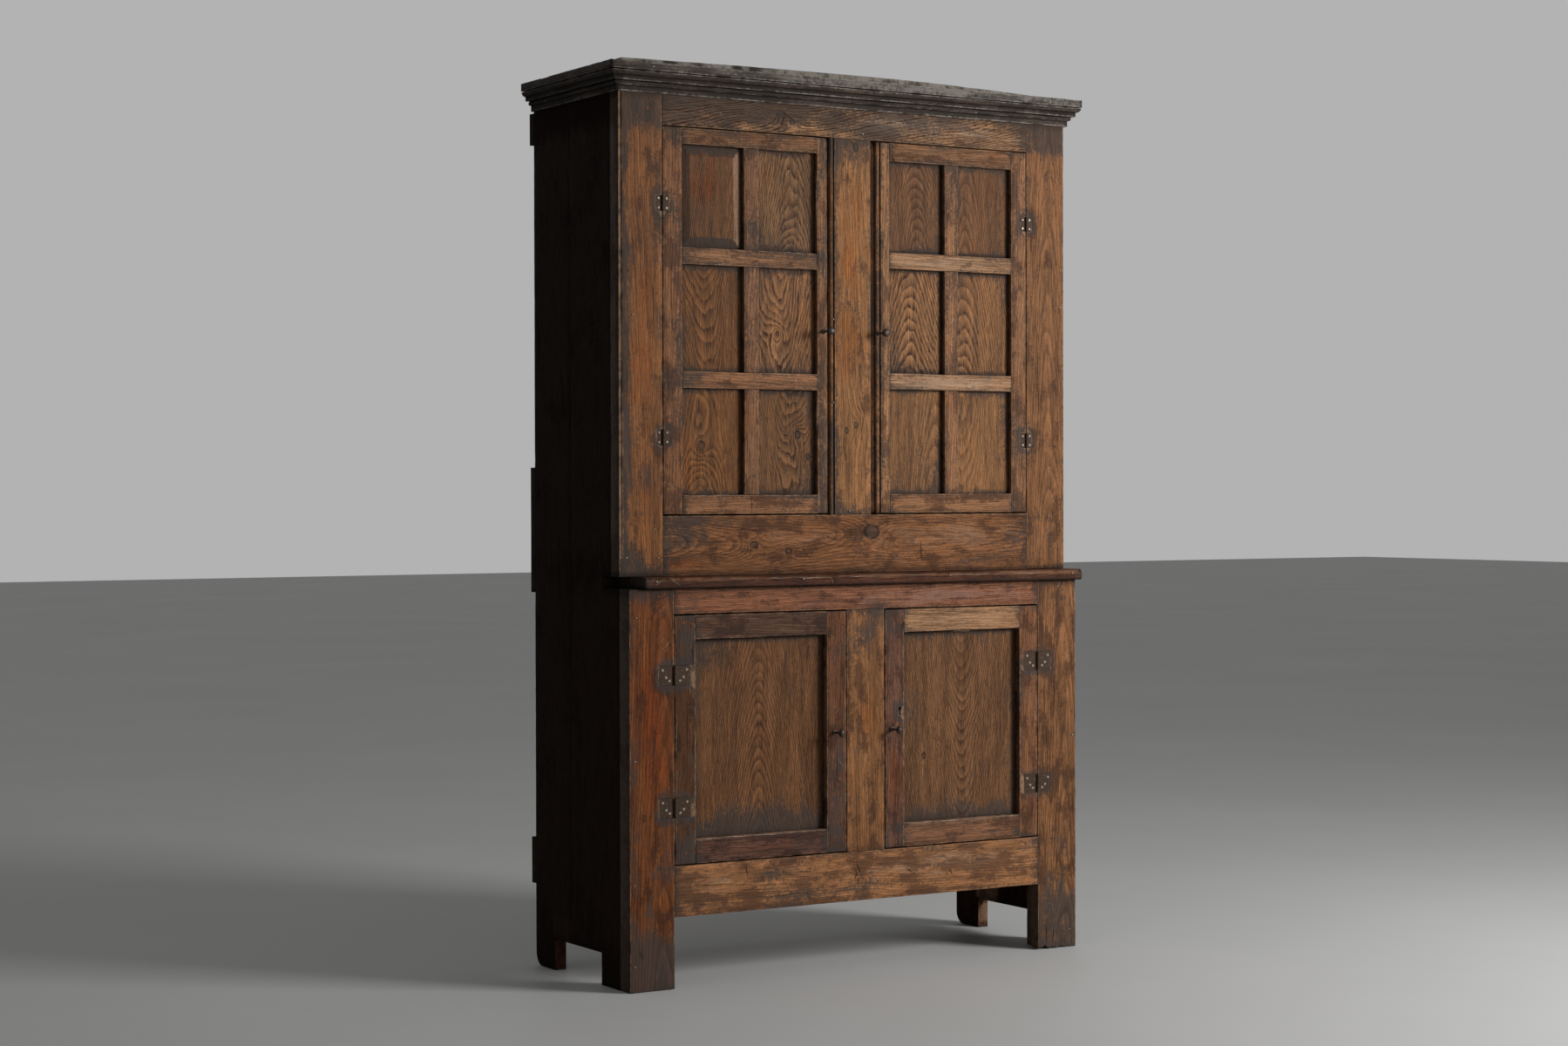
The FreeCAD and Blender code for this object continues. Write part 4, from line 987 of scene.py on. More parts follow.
def slice_up(mesh: BMesh, axis: int, pace: float) -> None:
    """Cuts the faces of a mesh at even steps along an axis, so that it can be shaped there.

    Args:
        mesh: The mesh.
        axis: The axis's number.
        pace: The steps' length.
    """
    places = [vert.co[axis] for vert in mesh.verts]
    low, high = min(places), max(places)
    count = int((high - low) / pace)
    normal = Vector([float(index == axis) for index in range(3)])
    for number in range(1, count):
        bmesh.ops.bisect_plane(
            mesh,
            geom=mesh.verts[:] + mesh.edges[:] + mesh.faces[:],
            dist=0.01 * MM,
            plane_co=normal * (low + (high - low) * number / count),
            plane_no=normal,
        )


def distance_to(points: np.ndarray, segments: list[Segment]) -> np.ndarray:
    """Returns each point's distance to the nearest of some straight segments.

    Args:
        points: The points.
        segments: The segments' ends.

    Returns:
        The distances, up to FAR.
    """
    nearest = np.full(len(points), FAR)
    for start, end in segments:
        first, run = np.array(start), np.array(end - start)
        along = np.clip((points - first) @ run / (run @ run), 0.0, 1.0)
        gap = np.linalg.norm(points - first - along[:, None] * run, axis=1)
        nearest = np.minimum(nearest, gap)
    return nearest


def set_attributes(data: bpy.types.Mesh, **values: np.ndarray) -> None:
    """Writes attributes on a mesh's vertices, each of the kind that its width asks for.

    Args:
        data: The mesh.
        values: For each attribute by name, its value at every vertex.
    """
    kinds = {1: ("FLOAT", "value"), 3: ("FLOAT_VECTOR", "vector"), 4: ("FLOAT_COLOR", "color")}
    for name, table in values.items():
        kind, key = kinds[1 if table.ndim == 1 else table.shape[1]]
        layer = data.attributes.new(name, kind, "POINT")
        layer.data.foreach_set(key, table.astype(np.float32).ravel())


def fading(gap: np.ndarray, reach: float) -> np.ndarray:
    """Returns 1 at a line that gathers dirt, fading over a reach, by gaps in millimetres."""
    return np.exp(-np.clip(gap, 0, FAR_GAP) / reach)


def rough(x: float, y: float, z: float) -> float:
    """Returns smooth noise, from about -1 to 1, at a place in a field of cells one unit wide."""
    return noise.noise(Vector((x, y, z)))


@dataclass
class Boards:
    """The wooden pieces of one CAD node, worn and dressed as old wood."""

    node: str
    slot: str
    run: Run
    finish: WoodFinish
    hearts: tuple[Heart, ...] = (Heart(),)
    pace: float = 14 * MM
    arris: float = 0.8 * MM
    wave: float = 0.5 * MM
    chips: float = 0.7 * MM
    sharp: float = 40.0
    seed: int = 0
    openings: tuple[tuple[float, float, float, float], ...] = ()
    # strength of the painted shade laid along grooves and joints
    groove: float = 0.0

    def build(self) -> bpy.types.Object:
        """Builds and dresses the pieces, and returns their object.

        Returns:
            The object, one for all the node's pieces.
        """
        mesh = merged_copy(self.node)
        arrises, seams = self.sharp_edges(mesh)
        self.ease(mesh)
        for axis in self.slicing_axes():
            slice_up(mesh, axis, self.pace)
        solids = islands(mesh)
        points = np.array([vert.co[:] for vert in mesh.verts])
        edge_gap = distance_to(points, arrises)
        self.weather(mesh, points, edge_gap)
        made = finished(mesh, f"worn_{self.node}")
        self.dress(made, solids, points, edge_gap, distance_to(points, seams))
        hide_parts(self.node)
        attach(made, BODY_OF[self.node])
        LOG.info("%s: %d faces", made.name, len(made.data.polygons))
        return made

    def slicing_axes(self) -> tuple[int, ...]:
        """Returns the axes that the pieces are sliced along: across the grain, then along it."""
        across, _, along = self.run.value
        return across, along

    def sharp_edges(self, mesh: BMesh) -> tuple[list[Segment], list[Segment]]:
        """Returns the arrises that run with the grain, and the edges that darken, as segments.

        Soiling, dark joint lines and painted shade lie along the outward edges across the grain, which are
        joints, and along every groove.

        Args:
            mesh: The mesh before it is eased and sliced.

        Returns:
            The arrises and the edges that gather dirt.
        """
        along = self.run.value[2]
        arrises, seams = [], []
        for edge in mesh.edges:
            if len(edge.link_faces) != 2 or edge.calc_length() < 3 * MM:
                continue
            angle = math.degrees(edge.calc_face_angle_signed(0.0))
            start, end = (vert.co.copy() for vert in edge.verts)
            lengthwise = abs((end - start).normalized()[along]) > 0.9
            if angle < -25 or (angle > 40 and not lengthwise):
                seams.append((start, end))
            elif angle > self.sharp:
                arrises.append((start, end))
        return arrises, seams

    def ease(self, mesh: BMesh) -> None:
        """Eases the outward edges of the front and back faces.

        Args:
            mesh: The mesh.
        """
        depth = self.run.value[1]
        places = [vert.co[depth] for vert in mesh.verts]
        faces = (min(places), max(places))
        chosen = []
        for edge in mesh.edges:
            if len(edge.link_faces) != 2 or edge.calc_length() < 2 * MM:
                continue
            level = [vert.co[depth] for vert in edge.verts]
            on_face = any(max(abs(value - face) for value in level) < 0.02 * MM for face in faces)
            if on_face and edge.calc_face_angle_signed(0.0) > math.radians(40):
                chosen.append(edge)
        bmesh.ops.bevel(
            mesh,
            geom=chosen,
            offset=self.arris,
            offset_type="OFFSET",
            segments=2,
            profile=0.5,
            affect="EDGES",
            clamp_overlap=True,
            material=-1,
        )

    def weather(self, mesh: BMesh, points: np.ndarray, edge_gap: np.ndarray) -> None:
        """Moves the surface in by what age took: broad waves, and chips along the arrises.

        Args:
            mesh: The mesh.
            points: Where its vertices were before the wear. Not used here.
            edge_gap: Their distances to the nearest arris.
        """
        across, depth, along = self.run.value
        offset = Vector((self.seed * 3.1, 7.7, self.seed * 1.7))
        mesh.normal_update()
        for vert, gap in zip(mesh.verts, edge_gap):
            here = vert.co
            broad = noise.noise(
                Vector((here[across] * 9, here[depth] * 9, here[along] * 4)) + offset
            )
            sunk = self.wave * (0.5 + 0.5 * broad)
            if gap < 6 * MM:
                bite = noise.noise(here * 42 + offset) + 0.5 * noise.noise(here * 110 + offset)
                sunk += self.chips * max(0.0, bite) * (1 - gap / (6 * MM))
            vert.co = here - vert.normal * sunk

    def dress(
        self,
        made: bpy.types.Object,
        solids: list[list[int]],
        points: np.ndarray,
        edge_gap: np.ndarray,
        seam_gap: np.ndarray,
    ) -> None:
        """Gives the mesh its material and the attributes that it reads.

        Args:
            made: The object.
            solids: The vertex numbers of each solid.
            points: Where its vertices were before the wear.
            edge_gap: Their distances to the nearest arris.
            seam_gap: Their distances to the nearest edge across the grain.
        """
        across, depth, along = self.run.value
        count = len(points)
        rings, fibre = np.zeros((count, 3)), np.zeros((count, 3))
        tone, figure = np.ones((count, 4)), np.ones(count)
        strengths = self.patches(points)
        # painted shade along grooves and joints, as strong as groove asks
        strengths[:, Mark.DARK.value] += self.groove * np.exp(-seam_gap / (2.2 * MM))
        knots = np.full((3, count, 3), FAR_KNOT)
        for number, members in enumerate(solids):
            heart = self.hearts[number % len(self.hearts)]
            lap = number // len(self.hearts)
            mine = points[members]
            low, high = mine.min(0), mine.max(0)
            middle = (low + high) / 2
            shift = number * np.array([0.37, 0.0, 1.3]) + self.seed * np.array([0.11, 0.23, 0.7])
            u = mine[:, across] - middle[across] - heart.across + 0.02 * math.sin(3.0 * lap)
            v = mine[:, depth] - low[depth] + heart.behind
            w = (mine[:, along] - middle[along]) * heart.taper
            rings[members] = np.stack([u, v, w], 1) / heart.spacing
            fibre[members] = mine[:, [across, depth, along]] + shift
            tone[members] = (*heart.tone, heart.sway)
            figure[members] = heart.figure
            strengths[members, Mark.STAIN.value] += heart.stain
            self.set_knots(knots, members, mine, low, high)
        # patch holds grey, warm and pale marks, and the painted shade in its alpha
        set_attributes(
            made.data, rings=rings, fibre=fibre, tone=tone, figure=figure, arris=edge_gap, seam=seam_gap,
            knot_1=knots[0], knot_2=knots[1], knot_3=knots[2], patch=strengths[:, :Mark.STAIN.value],
            stain=strengths[:, Mark.STAIN.value],
        )
        made.data.materials.clear()
        made.data.materials.append(self.finish.material())

    def set_knots(
        self, knots: np.ndarray, members: list[int], mine: np.ndarray, low: np.ndarray, high: np.ndarray
    ) -> None:
        """Writes where a solid's vertices lie from each knot on it, in radii of the knot.

        Args:
            knots: The table of places for each of the three knots a board can have.
            members: The solid's vertex numbers.
            mine: Their places.
            low: The solid's lowest corner.
            high: Its highest corner.
        """
        if low[1] > UPPER_FRONT + FRONT_MEMBERS:
            return
        along = self.run.value[2]
        held = [
            knot for knot in KNOTS
            if low[0] < knot.x * MM < high[0] and low[2] < knot.z * MM < high[2]
        ]
        for index, knot in enumerate(held[:3]):
            away = mine - np.array([knot.x * MM, low[1], knot.z * MM])
            away[:, 1] *= 0.25
            away[:, along] *= 0.72
            knots[index, members] = away / (knot.radius * MM)

    def patches(self, points: np.ndarray) -> np.ndarray:
        """Returns the strength of each mark at every vertex.

        Args:
            points: Where its vertices were before the wear.

        Returns:
            The strength of each mark at every vertex.
        """
        strengths = np.zeros((len(points), len(Mark)))
        x, z = points[:, 0] / MM, points[:, 2] / MM
        for blot in BLOTS:
            if self.node.startswith(blot.only):
                near = np.exp(-(((x - blot.x) / blot.wide) ** 2) - ((z - blot.z) / blot.high) ** 2)
                strengths[:, blot.mark.value] += blot.strength * near
        grey, dark = strengths[:, Mark.GREY.value], strengths[:, Mark.DARK.value]
        grey += 0.8 * np.clip((z - HEAD_GRIME) / HEAD_GRIME_REACH, 0, 1)
        grey += 0.75 * np.exp(-((z / FOOT_GRIME_REACH) ** 2))
        # painted shade: the left face, the inside of the right foot below the lower rail, under the cornice,
        # in the crease at the ledge top, and the shadow under the ledge
        dark += 0.85 * (x < LEFT_FACE)
        dark += 0.7 * (np.abs(x - RIGHT_FOOT_INSIDE) < 0.6) * (z < LOWER_RAIL_FOOT)
        dark += 0.75 * fading(np.abs(z - CORNICE_FOOT), 3)
        dark += 0.7 * fading(np.abs(z - LEDGE_TOP), 3)
        dark += 0.6 * fading(LEDGE_FOOT - z, 9) * (z < LEDGE_FOOT + 1)
        for left, right, foot, head in self.openings:
            gap = np.minimum(np.minimum(x - left, right - x), np.minimum(z - foot, head - z))
            inside = (gap > -12) & (gap < FAR_GAP)
            grey[inside] += 0.75 * fading(gap[inside], 15)
            # painted shade in the recess along the edge of each opening; the grey band above is soiling
            dark[inside] += 0.8 * fading(gap[inside], 2.2)
        return strengths


@dataclass
class FootedStile(Boards):
    """A stile that runs down as a front foot, its end splintered on the floor."""

    splinters: float = 3 * MM
    torn_side: float = 0.0

    def weather(self, mesh: BMesh, points: np.ndarray, edge_gap: np.ndarray) -> None:
        """Moves the surface in, and tears the end of the foot, most of all towards one side.

        Args:
            mesh: The mesh.
            points: Where its vertices were before the wear.
            edge_gap: Their distances to the nearest arris.
        """
        super().weather(mesh, points, edge_gap)
        low, high = points[:, 0].min(), points[:, 0].max()
        for vert, point in zip(mesh.verts, points):
            near = max(0.0, 1 - point[2] / (26 * MM))
            if near:
                lean = 0.5 + self.torn_side * (2 * (point[0] - low) / (high - low) - 1) / 2
                torn = rough(point[0] * 95, point[1] * 60, 6.0)
                torn += 0.7 * rough(point[0] * 260, point[1] * 160, 2.0)
                vert.co.z += self.splinters * near * max(0.0, torn + 0.35) * lean * 2


@dataclass
class WavyRails(Boards):
    """A lower door's rails. The lower edge of the top rail wanders, as it was planed by hand."""

    edge: float = 804 * MM
    rise: float = 5 * MM
    start: float = 0.0
    finish_at: float = 0.1

    def weather(self, mesh: BMesh, points: np.ndarray, edge_gap: np.ndarray) -> None:
        """Moves the surface in, and lifts the lower edge of the top rail.

        Args:
            mesh: The mesh.
            points: Where its vertices were before the wear.
            edge_gap: Their distances to the nearest arris.
        """
        super().weather(mesh, points, edge_gap)
        for vert, point in zip(mesh.verts, points):
            near = max(0.0, 1 - abs(point[2] - self.edge) / (2 * MM))
            if near:
                share = min(1.0, max(0.0, (point[0] - self.start) / (self.finish_at - self.start)))
                wobble = 0.8 * MM * (1 + rough(point[0] * 32, 1.0, self.seed))
                vert.co.z += near * (wobble + self.rise * share * share * (3 - 2 * share))


@dataclass
class SideBoard(Boards):
    """A board of a side, its foot cut to a leg whose front edge is rubbed pale."""

    def patches(self, points: np.ndarray) -> np.ndarray:
        """Returns the strength of each mark.

        Args:
            points: Where its vertices were before the wear.

        Returns:
            The strength of each mark at every vertex.
        """
        strengths = super().patches(points)
        low = points[:, 2] < 60 * MM
        edge = points[low, 1].min()
        bare = (points[:, 2] < 130 * MM) & (points[:, 1] < edge + 0.6 * MM)
        strengths[bare, Mark.PALE.value] += 2.0
        strengths[bare, Mark.GREY.value] = 0.0
        return strengths


@dataclass
class RaisedPanel(Boards):
    """The raised panel, its bevels coloured for light from the right: painted shade on the left one, painted
    light on the right one, and the foot and head ones greyed, partly soiling and partly painted shade.
    """

    bevel: float = 26.0

    def patches(self, points: np.ndarray) -> np.ndarray:
        """Returns the strength of each mark.

        Args:
            points: Where its vertices were before the wear.

        Returns:
            The strength of each mark at every vertex.
        """
        strengths = super().patches(points)
        left, right, foot, head = self.openings[-2]
        x, z = points[:, 0] / MM, points[:, 2] / MM
        gaps = np.stack([x - left, right - x, z - foot, head - z])
        on_bevel = (gaps.min(0) < self.bevel - 0.5) & (points[:, 1] < points[:, 1].min() + 12 * MM)
        side = gaps.argmin(0)
        # left bevel painted shade, right bevel painted light, foot and head bevels greyed: partly soiling,
        # partly painted shade
        for number, (mark, strength) in enumerate(
            ((Mark.DARK, 0.55), (Mark.PALE, 0.95), (Mark.GREY, 0.9), (Mark.GREY, 0.7))
        ):
            strengths[on_bevel & (side == number), mark.value] += strength
        return strengths


# The pieces of the cupboard


@dataclass
class Carcass:
    """The sides, back, shelves and boards of the case."""

    tones: tuple[Colour, ...] = ((1.0, 1.0, 1.0), (0.88, 0.86, 0.84), (1.1, 1.06, 1.0), (0.95, 0.97, 0.98))

    def random_hearts(self, count: int, seed: int) -> tuple[Heart, ...]:
        """Returns differing hearts for boards that are little seen.

        Args:
            count: How many boards there are.
            seed: The seed of the draw.

        Returns:
            The hearts.
        """
        draw = np.random.default_rng(seed)
        return tuple(
            Heart(
                across=float(draw.uniform(-0.05, 0.05)),
                behind=float(draw.uniform(0.015, 0.07)),
                taper=float(draw.choice([-1, 1]) * draw.uniform(0.05, 0.2)),
                spacing=0.006,
                tone=self.tones[int(draw.integers(len(self.tones)))],
            )
            for _ in range(count)
        )

    def build(self) -> None:
        """Builds every board of the carcass."""
        for number, side in enumerate(("left", "right")):
            for step, part in enumerate(("front", "rear")):
                hearts = (Heart(across=0.03 - 0.05 * step, behind=0.05, taper=0.09, spacing=0.008),)
                wood = RIGHT_SIDE_WOOD if side == "right" else SIDE_WOOD
                SideBoard(
                    f"side_{side}_{part}_board", "case_wood", Run.SIDE, wood, hearts, pace=20 * MM,
                    arris=1.0 * MM, seed=10 + number * 2 + step,
                ).build()
        inside = (
            ("upper_shelves", Run.SHELF, 3, INNER_WOOD, "inner_wood"),
            ("lower_shelf", Run.SHELF, 1, INNER_WOOD, "inner_wood"),
            ("waist_boards", Run.SHELF, 2, INNER_WOOD, "inner_wood"),
            ("floor_boards", Run.SHELF, 2, INNER_WOOD, "inner_wood"),
            ("shelf_cleats", Run.RETURN, 12, INNER_WOOD, "inner_wood"),
            ("door_stops", Run.LEVEL, 4, INNER_WOOD, "inner_wood"),
            ("back_boards", Run.UPRIGHT, 6, BACK_WOOD, "inner_wood"),
            ("back_battens", Run.LEVEL, 3, BACK_WOOD, "case_wood"),
        )
        for number, (node, run, count, finish, slot) in enumerate(inside):
            hearts = self.random_hearts(count, number)
            Boards(node, slot, run, finish, hearts, pace=34 * MM, arris=0.8 * MM, seed=30 + number).build()


@dataclass
class FrontFrames:
    """The stiles, rails and centre posts of both stages."""

    def build(self) -> None:
        """Builds every member of both frames."""
        members = {
            "upper_stile_left": Heart(-0.05, 0.06, 0.03, 0.0045, (0.84, 0.78, 0.68), 0.35, 0.4),
            "upper_stile_right": Heart(0.01, 0.05, 0.05, 0.0045, (0.82, 0.83, 0.82), 0.6, 0.6),
            "upper_head_rail": Heart(0.07, 0.03, 0.2, 0.0065, (1.2, 1.46, 1.8), 0.9, 2.0),
            "upper_sill_rail": Heart(0.01, 0.04, 0.05, 0.0045, (0.88, 0.84, 0.82), 1.2, 1.1, 0.1),
            "upper_centre_post": Heart(0.05, 0.06, -0.03, 0.0045, (1.07, 1.13, 1.08), 0.4, 0.4),
            "lower_stile_left": Heart(0.03, 0.06, 0.03, 0.0055, (0.62, 0.44, 0.28), 0.5, 0.9),
            "lower_stile_right": Heart(0.02, 0.05, 0.04, 0.0045, (0.82, 0.84, 0.86), 0.6, 0.8, 0.15),
            "lower_head_rail": Heart(0.06, 0.05, 0.02, 0.0045, (0.88, 0.80, 1.0), 0.4, 0.5),
            "lower_bottom_rail": Heart(0.04, 0.05, -0.03, 0.0050, (1.12, 1.16, 1.2), 0.9, 0.35, 0.26),
            "lower_centre_post": Heart(-0.05, 0.05, 0.03, 0.0045, (0.9, 0.92, 0.9), 0.4, 0.4, 0.15),
        }
        for number, (node, heart) in enumerate(members.items()):
            run = Run.LEVEL if node.endswith("rail") else Run.UPRIGHT
            if node.startswith("lower_stile"):
                right = node.endswith("right")
                FootedStile(
                    node, "frame_wood", run, FRAME_WOOD, (heart,), seed=50 + number, pace=7 * MM,
                    splinters=(8 if right else 2.5) * MM, torn_side=-0.9 if right else 0.0,
                ).build()
            else:
                Boards(node, "frame_wood", run, FRAME_WOOD, (heart,), seed=50 + number).build()


@dataclass
class Ledge(Boards):
    """The waist ledge, its edge bitten and scratched by long use."""

    node: str = "waist_ledge"
    slot: str = "frame_wood"
    run: Run = Run.LEVEL
    finish: WoodFinish = LEDGE_WOOD
    hearts: tuple[Heart, ...] = (Heart(0.0, 0.05, 0.03, 0.005, (0.62, 0.52, 0.48), 0.5, 0.6, 0.1),)
    pace: float = 6 * MM
    sharp: float = 12.0
    bite: float = 4.0 * MM
    nosing_foot: float = 932.0
    rubbed_and_highlit_height: float = 944.0
    dark_end: float = -592.0
    splits: tuple[tuple[float, float], ...] = ((-250, 45), (-190, 60), (-109, 22), (-570, 30))

    def slicing_axes(self) -> tuple[int, ...]:
        """Returns the axes that the ledge is sliced along."""
        return 2, 0

    def weather(self, mesh: BMesh, points: np.ndarray, edge_gap: np.ndarray) -> None:
        """Moves the surface in, with bites and splits along the top of the nosing.

        Args:
            mesh: The mesh.
            points: Where its vertices were before the wear.
            edge_gap: Their distances to the nearest arris.
        """
        super().weather(mesh, points, edge_gap)
        top = points[:, 2].max()
        front = points[:, 1].min()
        left = points[:, 0].min()
        mesh.normal_update()
        for vert, point in zip(mesh.verts, points):
            sunk = 0.0
            near = max(0.0, 1 - math.hypot(point[1] - front, point[2] - top) / (17 * MM))
            if near:
                grain = rough(point[0] * 26, point[2] * 60, 3.0)
                fine = rough(point[0] * 95, point[2] * 160, 9.0)
                sunk += self.bite * near * max(0.0, grain + 0.6 * fine)
            for place, reach in self.splits:
                share = max(0.0, 1 - abs(point[0] / MM - place) / reach)
                level = top - 7 * MM + 4 * MM * math.sin(point[0] * 75)
                if share and point[1] < front + 12 * MM:
                    sunk += 2.2 * MM * share * max(0.0, 1 - abs(point[2] - level) / (3.2 * MM))
            vert.co -= vert.normal * sunk
            if point[0] < left + 1 * MM:
                vert.co.x += 6 * MM * max(0.0, rough(point[1] * 45, point[2] * 110, 4.0) + 0.3)

    def patches(self, points: np.ndarray) -> np.ndarray:
        """Returns the strength of each mark: painted shade under the nosing and at its left end, and a pale
        band along its top, partly wear and partly painted highlight.

        Args:
            points: Where its vertices were before the wear.

        Returns:
            The strength of each mark at every vertex.
        """
        strengths = super().patches(points)
        x, z = points[:, 0] / MM, points[:, 2] / MM
        dark, pale = strengths[:, Mark.DARK.value], strengths[:, Mark.PALE.value]
        # painted shade under the rounded nosing
        dark[:] = 0.85 * np.clip((self.nosing_foot - z) / 9, 0, 1)
        # painted shade at the left end
        dark += 0.8 * np.clip((self.dark_end - x) / 14, 0, 1)
        # pale band along the top: partly wear, partly painted highlight
        pale += 0.8 * np.exp(-(((z - self.rubbed_and_highlit_height) / 4) ** 2))
        return strengths


@dataclass
class CorniceRun(Boards):
    """One run of the cornice, its fascia chipped along the top."""

    # shallow moulding edges count as arrises, so their pale wear also paints highlights
    sharp: float = 14.0
    bite: float = 2.6 * MM
    fascia_foot: float = 2111.5
    fascia_top: float = 2124.0

    def weather(self, mesh: BMesh, points: np.ndarray, edge_gap: np.ndarray) -> None:
        """Moves the surface in, with bites out of the fascia's top arris.

        Args:
            mesh: The mesh.
            points: Where its vertices were before the wear.
            edge_gap: Their distances to the nearest arris.
        """
        super().weather(mesh, points, edge_gap)
        top = points[:, 2].max()
        along = self.run.value[2]
        for vert, point in zip(mesh.verts, points):
            near = max(0.0, 1 - (top - point[2]) / (9 * MM))
            if near:
                torn = rough(point[along] * 21, self.seed, 2.0)
                torn += 0.6 * rough(point[along] * 70, self.seed, 5.0)
                vert.co.z -= self.bite * near * max(0.0, torn - 0.05)

    def patches(self, points: np.ndarray) -> np.ndarray:
        """Returns the strength of each mark: painted shade on the left return, and the fascia rubbed grey,
        paler to the right, partly weathering and partly painted light from the right.

        Args:
            points: Where its vertices were before the wear.

        Returns:
            The strength of each mark at every vertex.
        """
        strengths = super().patches(points)
        x, z = points[:, 0] / MM, points[:, 2] / MM
        strengths[:, Mark.GREY.value] = 0.1
        # painted shade on the left return
        strengths[:, Mark.DARK.value] = 0.5 * (x < LEFT_FACE)
        pale = strengths[:, Mark.PALE.value]
        # paler to the right: partly weathering, partly painted light from the right
        pale += (z > self.fascia_foot) * (0.25 + 0.75 * np.clip((x + 600) / 500, 0, 1))
        pale += 0.3 * np.clip((z - self.fascia_top) / 5, 0, 1)
        # paler to the right: partly weathering, partly painted light from the right
        pale += 0.2 * np.clip((x + 100) / 500, 0, 1)
        return strengths


@dataclass
class TopBoards(Boards):
    """The loose top boards, their front edge torn and fibrous."""

    def slicing_axes(self) -> tuple[int, ...]:
        """Returns the axes that the boards are sliced along."""
        return 2, 0

    def weather(self, mesh: BMesh, points: np.ndarray, edge_gap: np.ndarray) -> None:
        """Moves the surface in, with long torn fibres in the front edge.

        Args:
            mesh: The mesh.
            points: Where its vertices were before the wear.
            edge_gap: Their distances to the nearest arris.
        """
        super().weather(mesh, points, edge_gap)
        front = points[:, 1].min()
        for vert, point in zip(mesh.verts, points):
            if point[1] < front + 2 * MM:
                torn = rough(point[0] * 16, point[2] * 260, 1.0)
                vert.co.y += 4 * MM * max(0.0, torn + 0.15)


@dataclass
class Cornice:
    """The mitred cornice and the rough top boards above it."""

    heart: Heart = Heart(0.02, 0.05, 0.02, 0.005, (1.0, 1.0, 1.0), 0.5, 0.5, 0.0)

    def build(self) -> None:
        """Builds the three runs and the top boards."""
        for number, (node, run) in enumerate(
            (("cornice_front", Run.LEVEL), ("cornice_left", Run.RETURN), ("cornice_right", Run.RETURN))
        ):
            # the mouldings get painted shade in their grooves and quirks
            CorniceRun(
                node, "cornice_wood", run, CORNICE_WOOD, (self.heart,), pace=8 * MM, arris=1.0 * MM,
                seed=70 + number, groove=0.9,
            ).build()
        TopBoards(
            "top_boards", "cornice_wood", Run.SHELF, TOP_WOOD,
            (Heart(0.0, 0.05, 0.05, 0.006),), pace=16 * MM, arris=1.2 * MM, seed=75,
        ).build()


@dataclass
class Door:
    """A framed and panelled door, dressed as separate pieces."""

    name: str
    seed: int
    members: dict[str, tuple[Heart, ...]]
    panels: dict[str, tuple[Heart, ...]]
    stile_edges: tuple[float, float]
    rail_heights: tuple[tuple[float, float], ...]
    muntin: tuple[float, float] | None = None
    wavy: tuple[float, float] | None = None

    def openings(self) -> tuple[tuple[float, float, float, float], ...]:
        """Returns the panel openings as (left, right, foot, head), in millimetres.

        Returns:
            The openings, from the foot up.
        """
        left, right = self.stile_edges
        columns = [(left, right)]
        if self.muntin:
            columns = [(left, self.muntin[0]), (self.muntin[1], right)]
        rows = [(low[1], high[0]) for low, high in zip(self.rail_heights, self.rail_heights[1:])]
        return tuple((x0, x1, z0, z1) for z0, z1 in rows for x0, x1 in columns)

    def build(self) -> None:
        """Builds the frame and the panels of the door."""
        for number, (part, hearts) in enumerate(self.members.items()):
            node, seed = f"{self.name}_{part}", self.seed + number
            run = Run.LEVEL if part == "rails" else Run.UPRIGHT
            if self.wavy and part == "rails":
                WavyRails(
                    node, "door_wood", run, DOOR_WOOD, hearts, seed=seed, pace=9 * MM, chips=1.0 * MM,
                    start=self.wavy[0] * MM, finish_at=self.wavy[1] * MM,
                ).build()
            else:
                Boards(
                    node, "door_wood", run, DOOR_WOOD, hearts, seed=seed, pace=12 * MM, chips=1.0 * MM
                ).build()
        for number, (part, hearts) in enumerate(self.panels.items()):
            raised = part == "raised_panel"
            kind, wood = (RaisedPanel, RAISED_WOOD) if raised else (Boards, PANEL_WOOD)
            kind(
                f"{self.name}_{part}", "panel_wood", Run.UPRIGHT, wood, hearts,
                seed=self.seed + 6 + number, pace=(5 if raised else 12) * MM, openings=self.openings(),
            ).build()


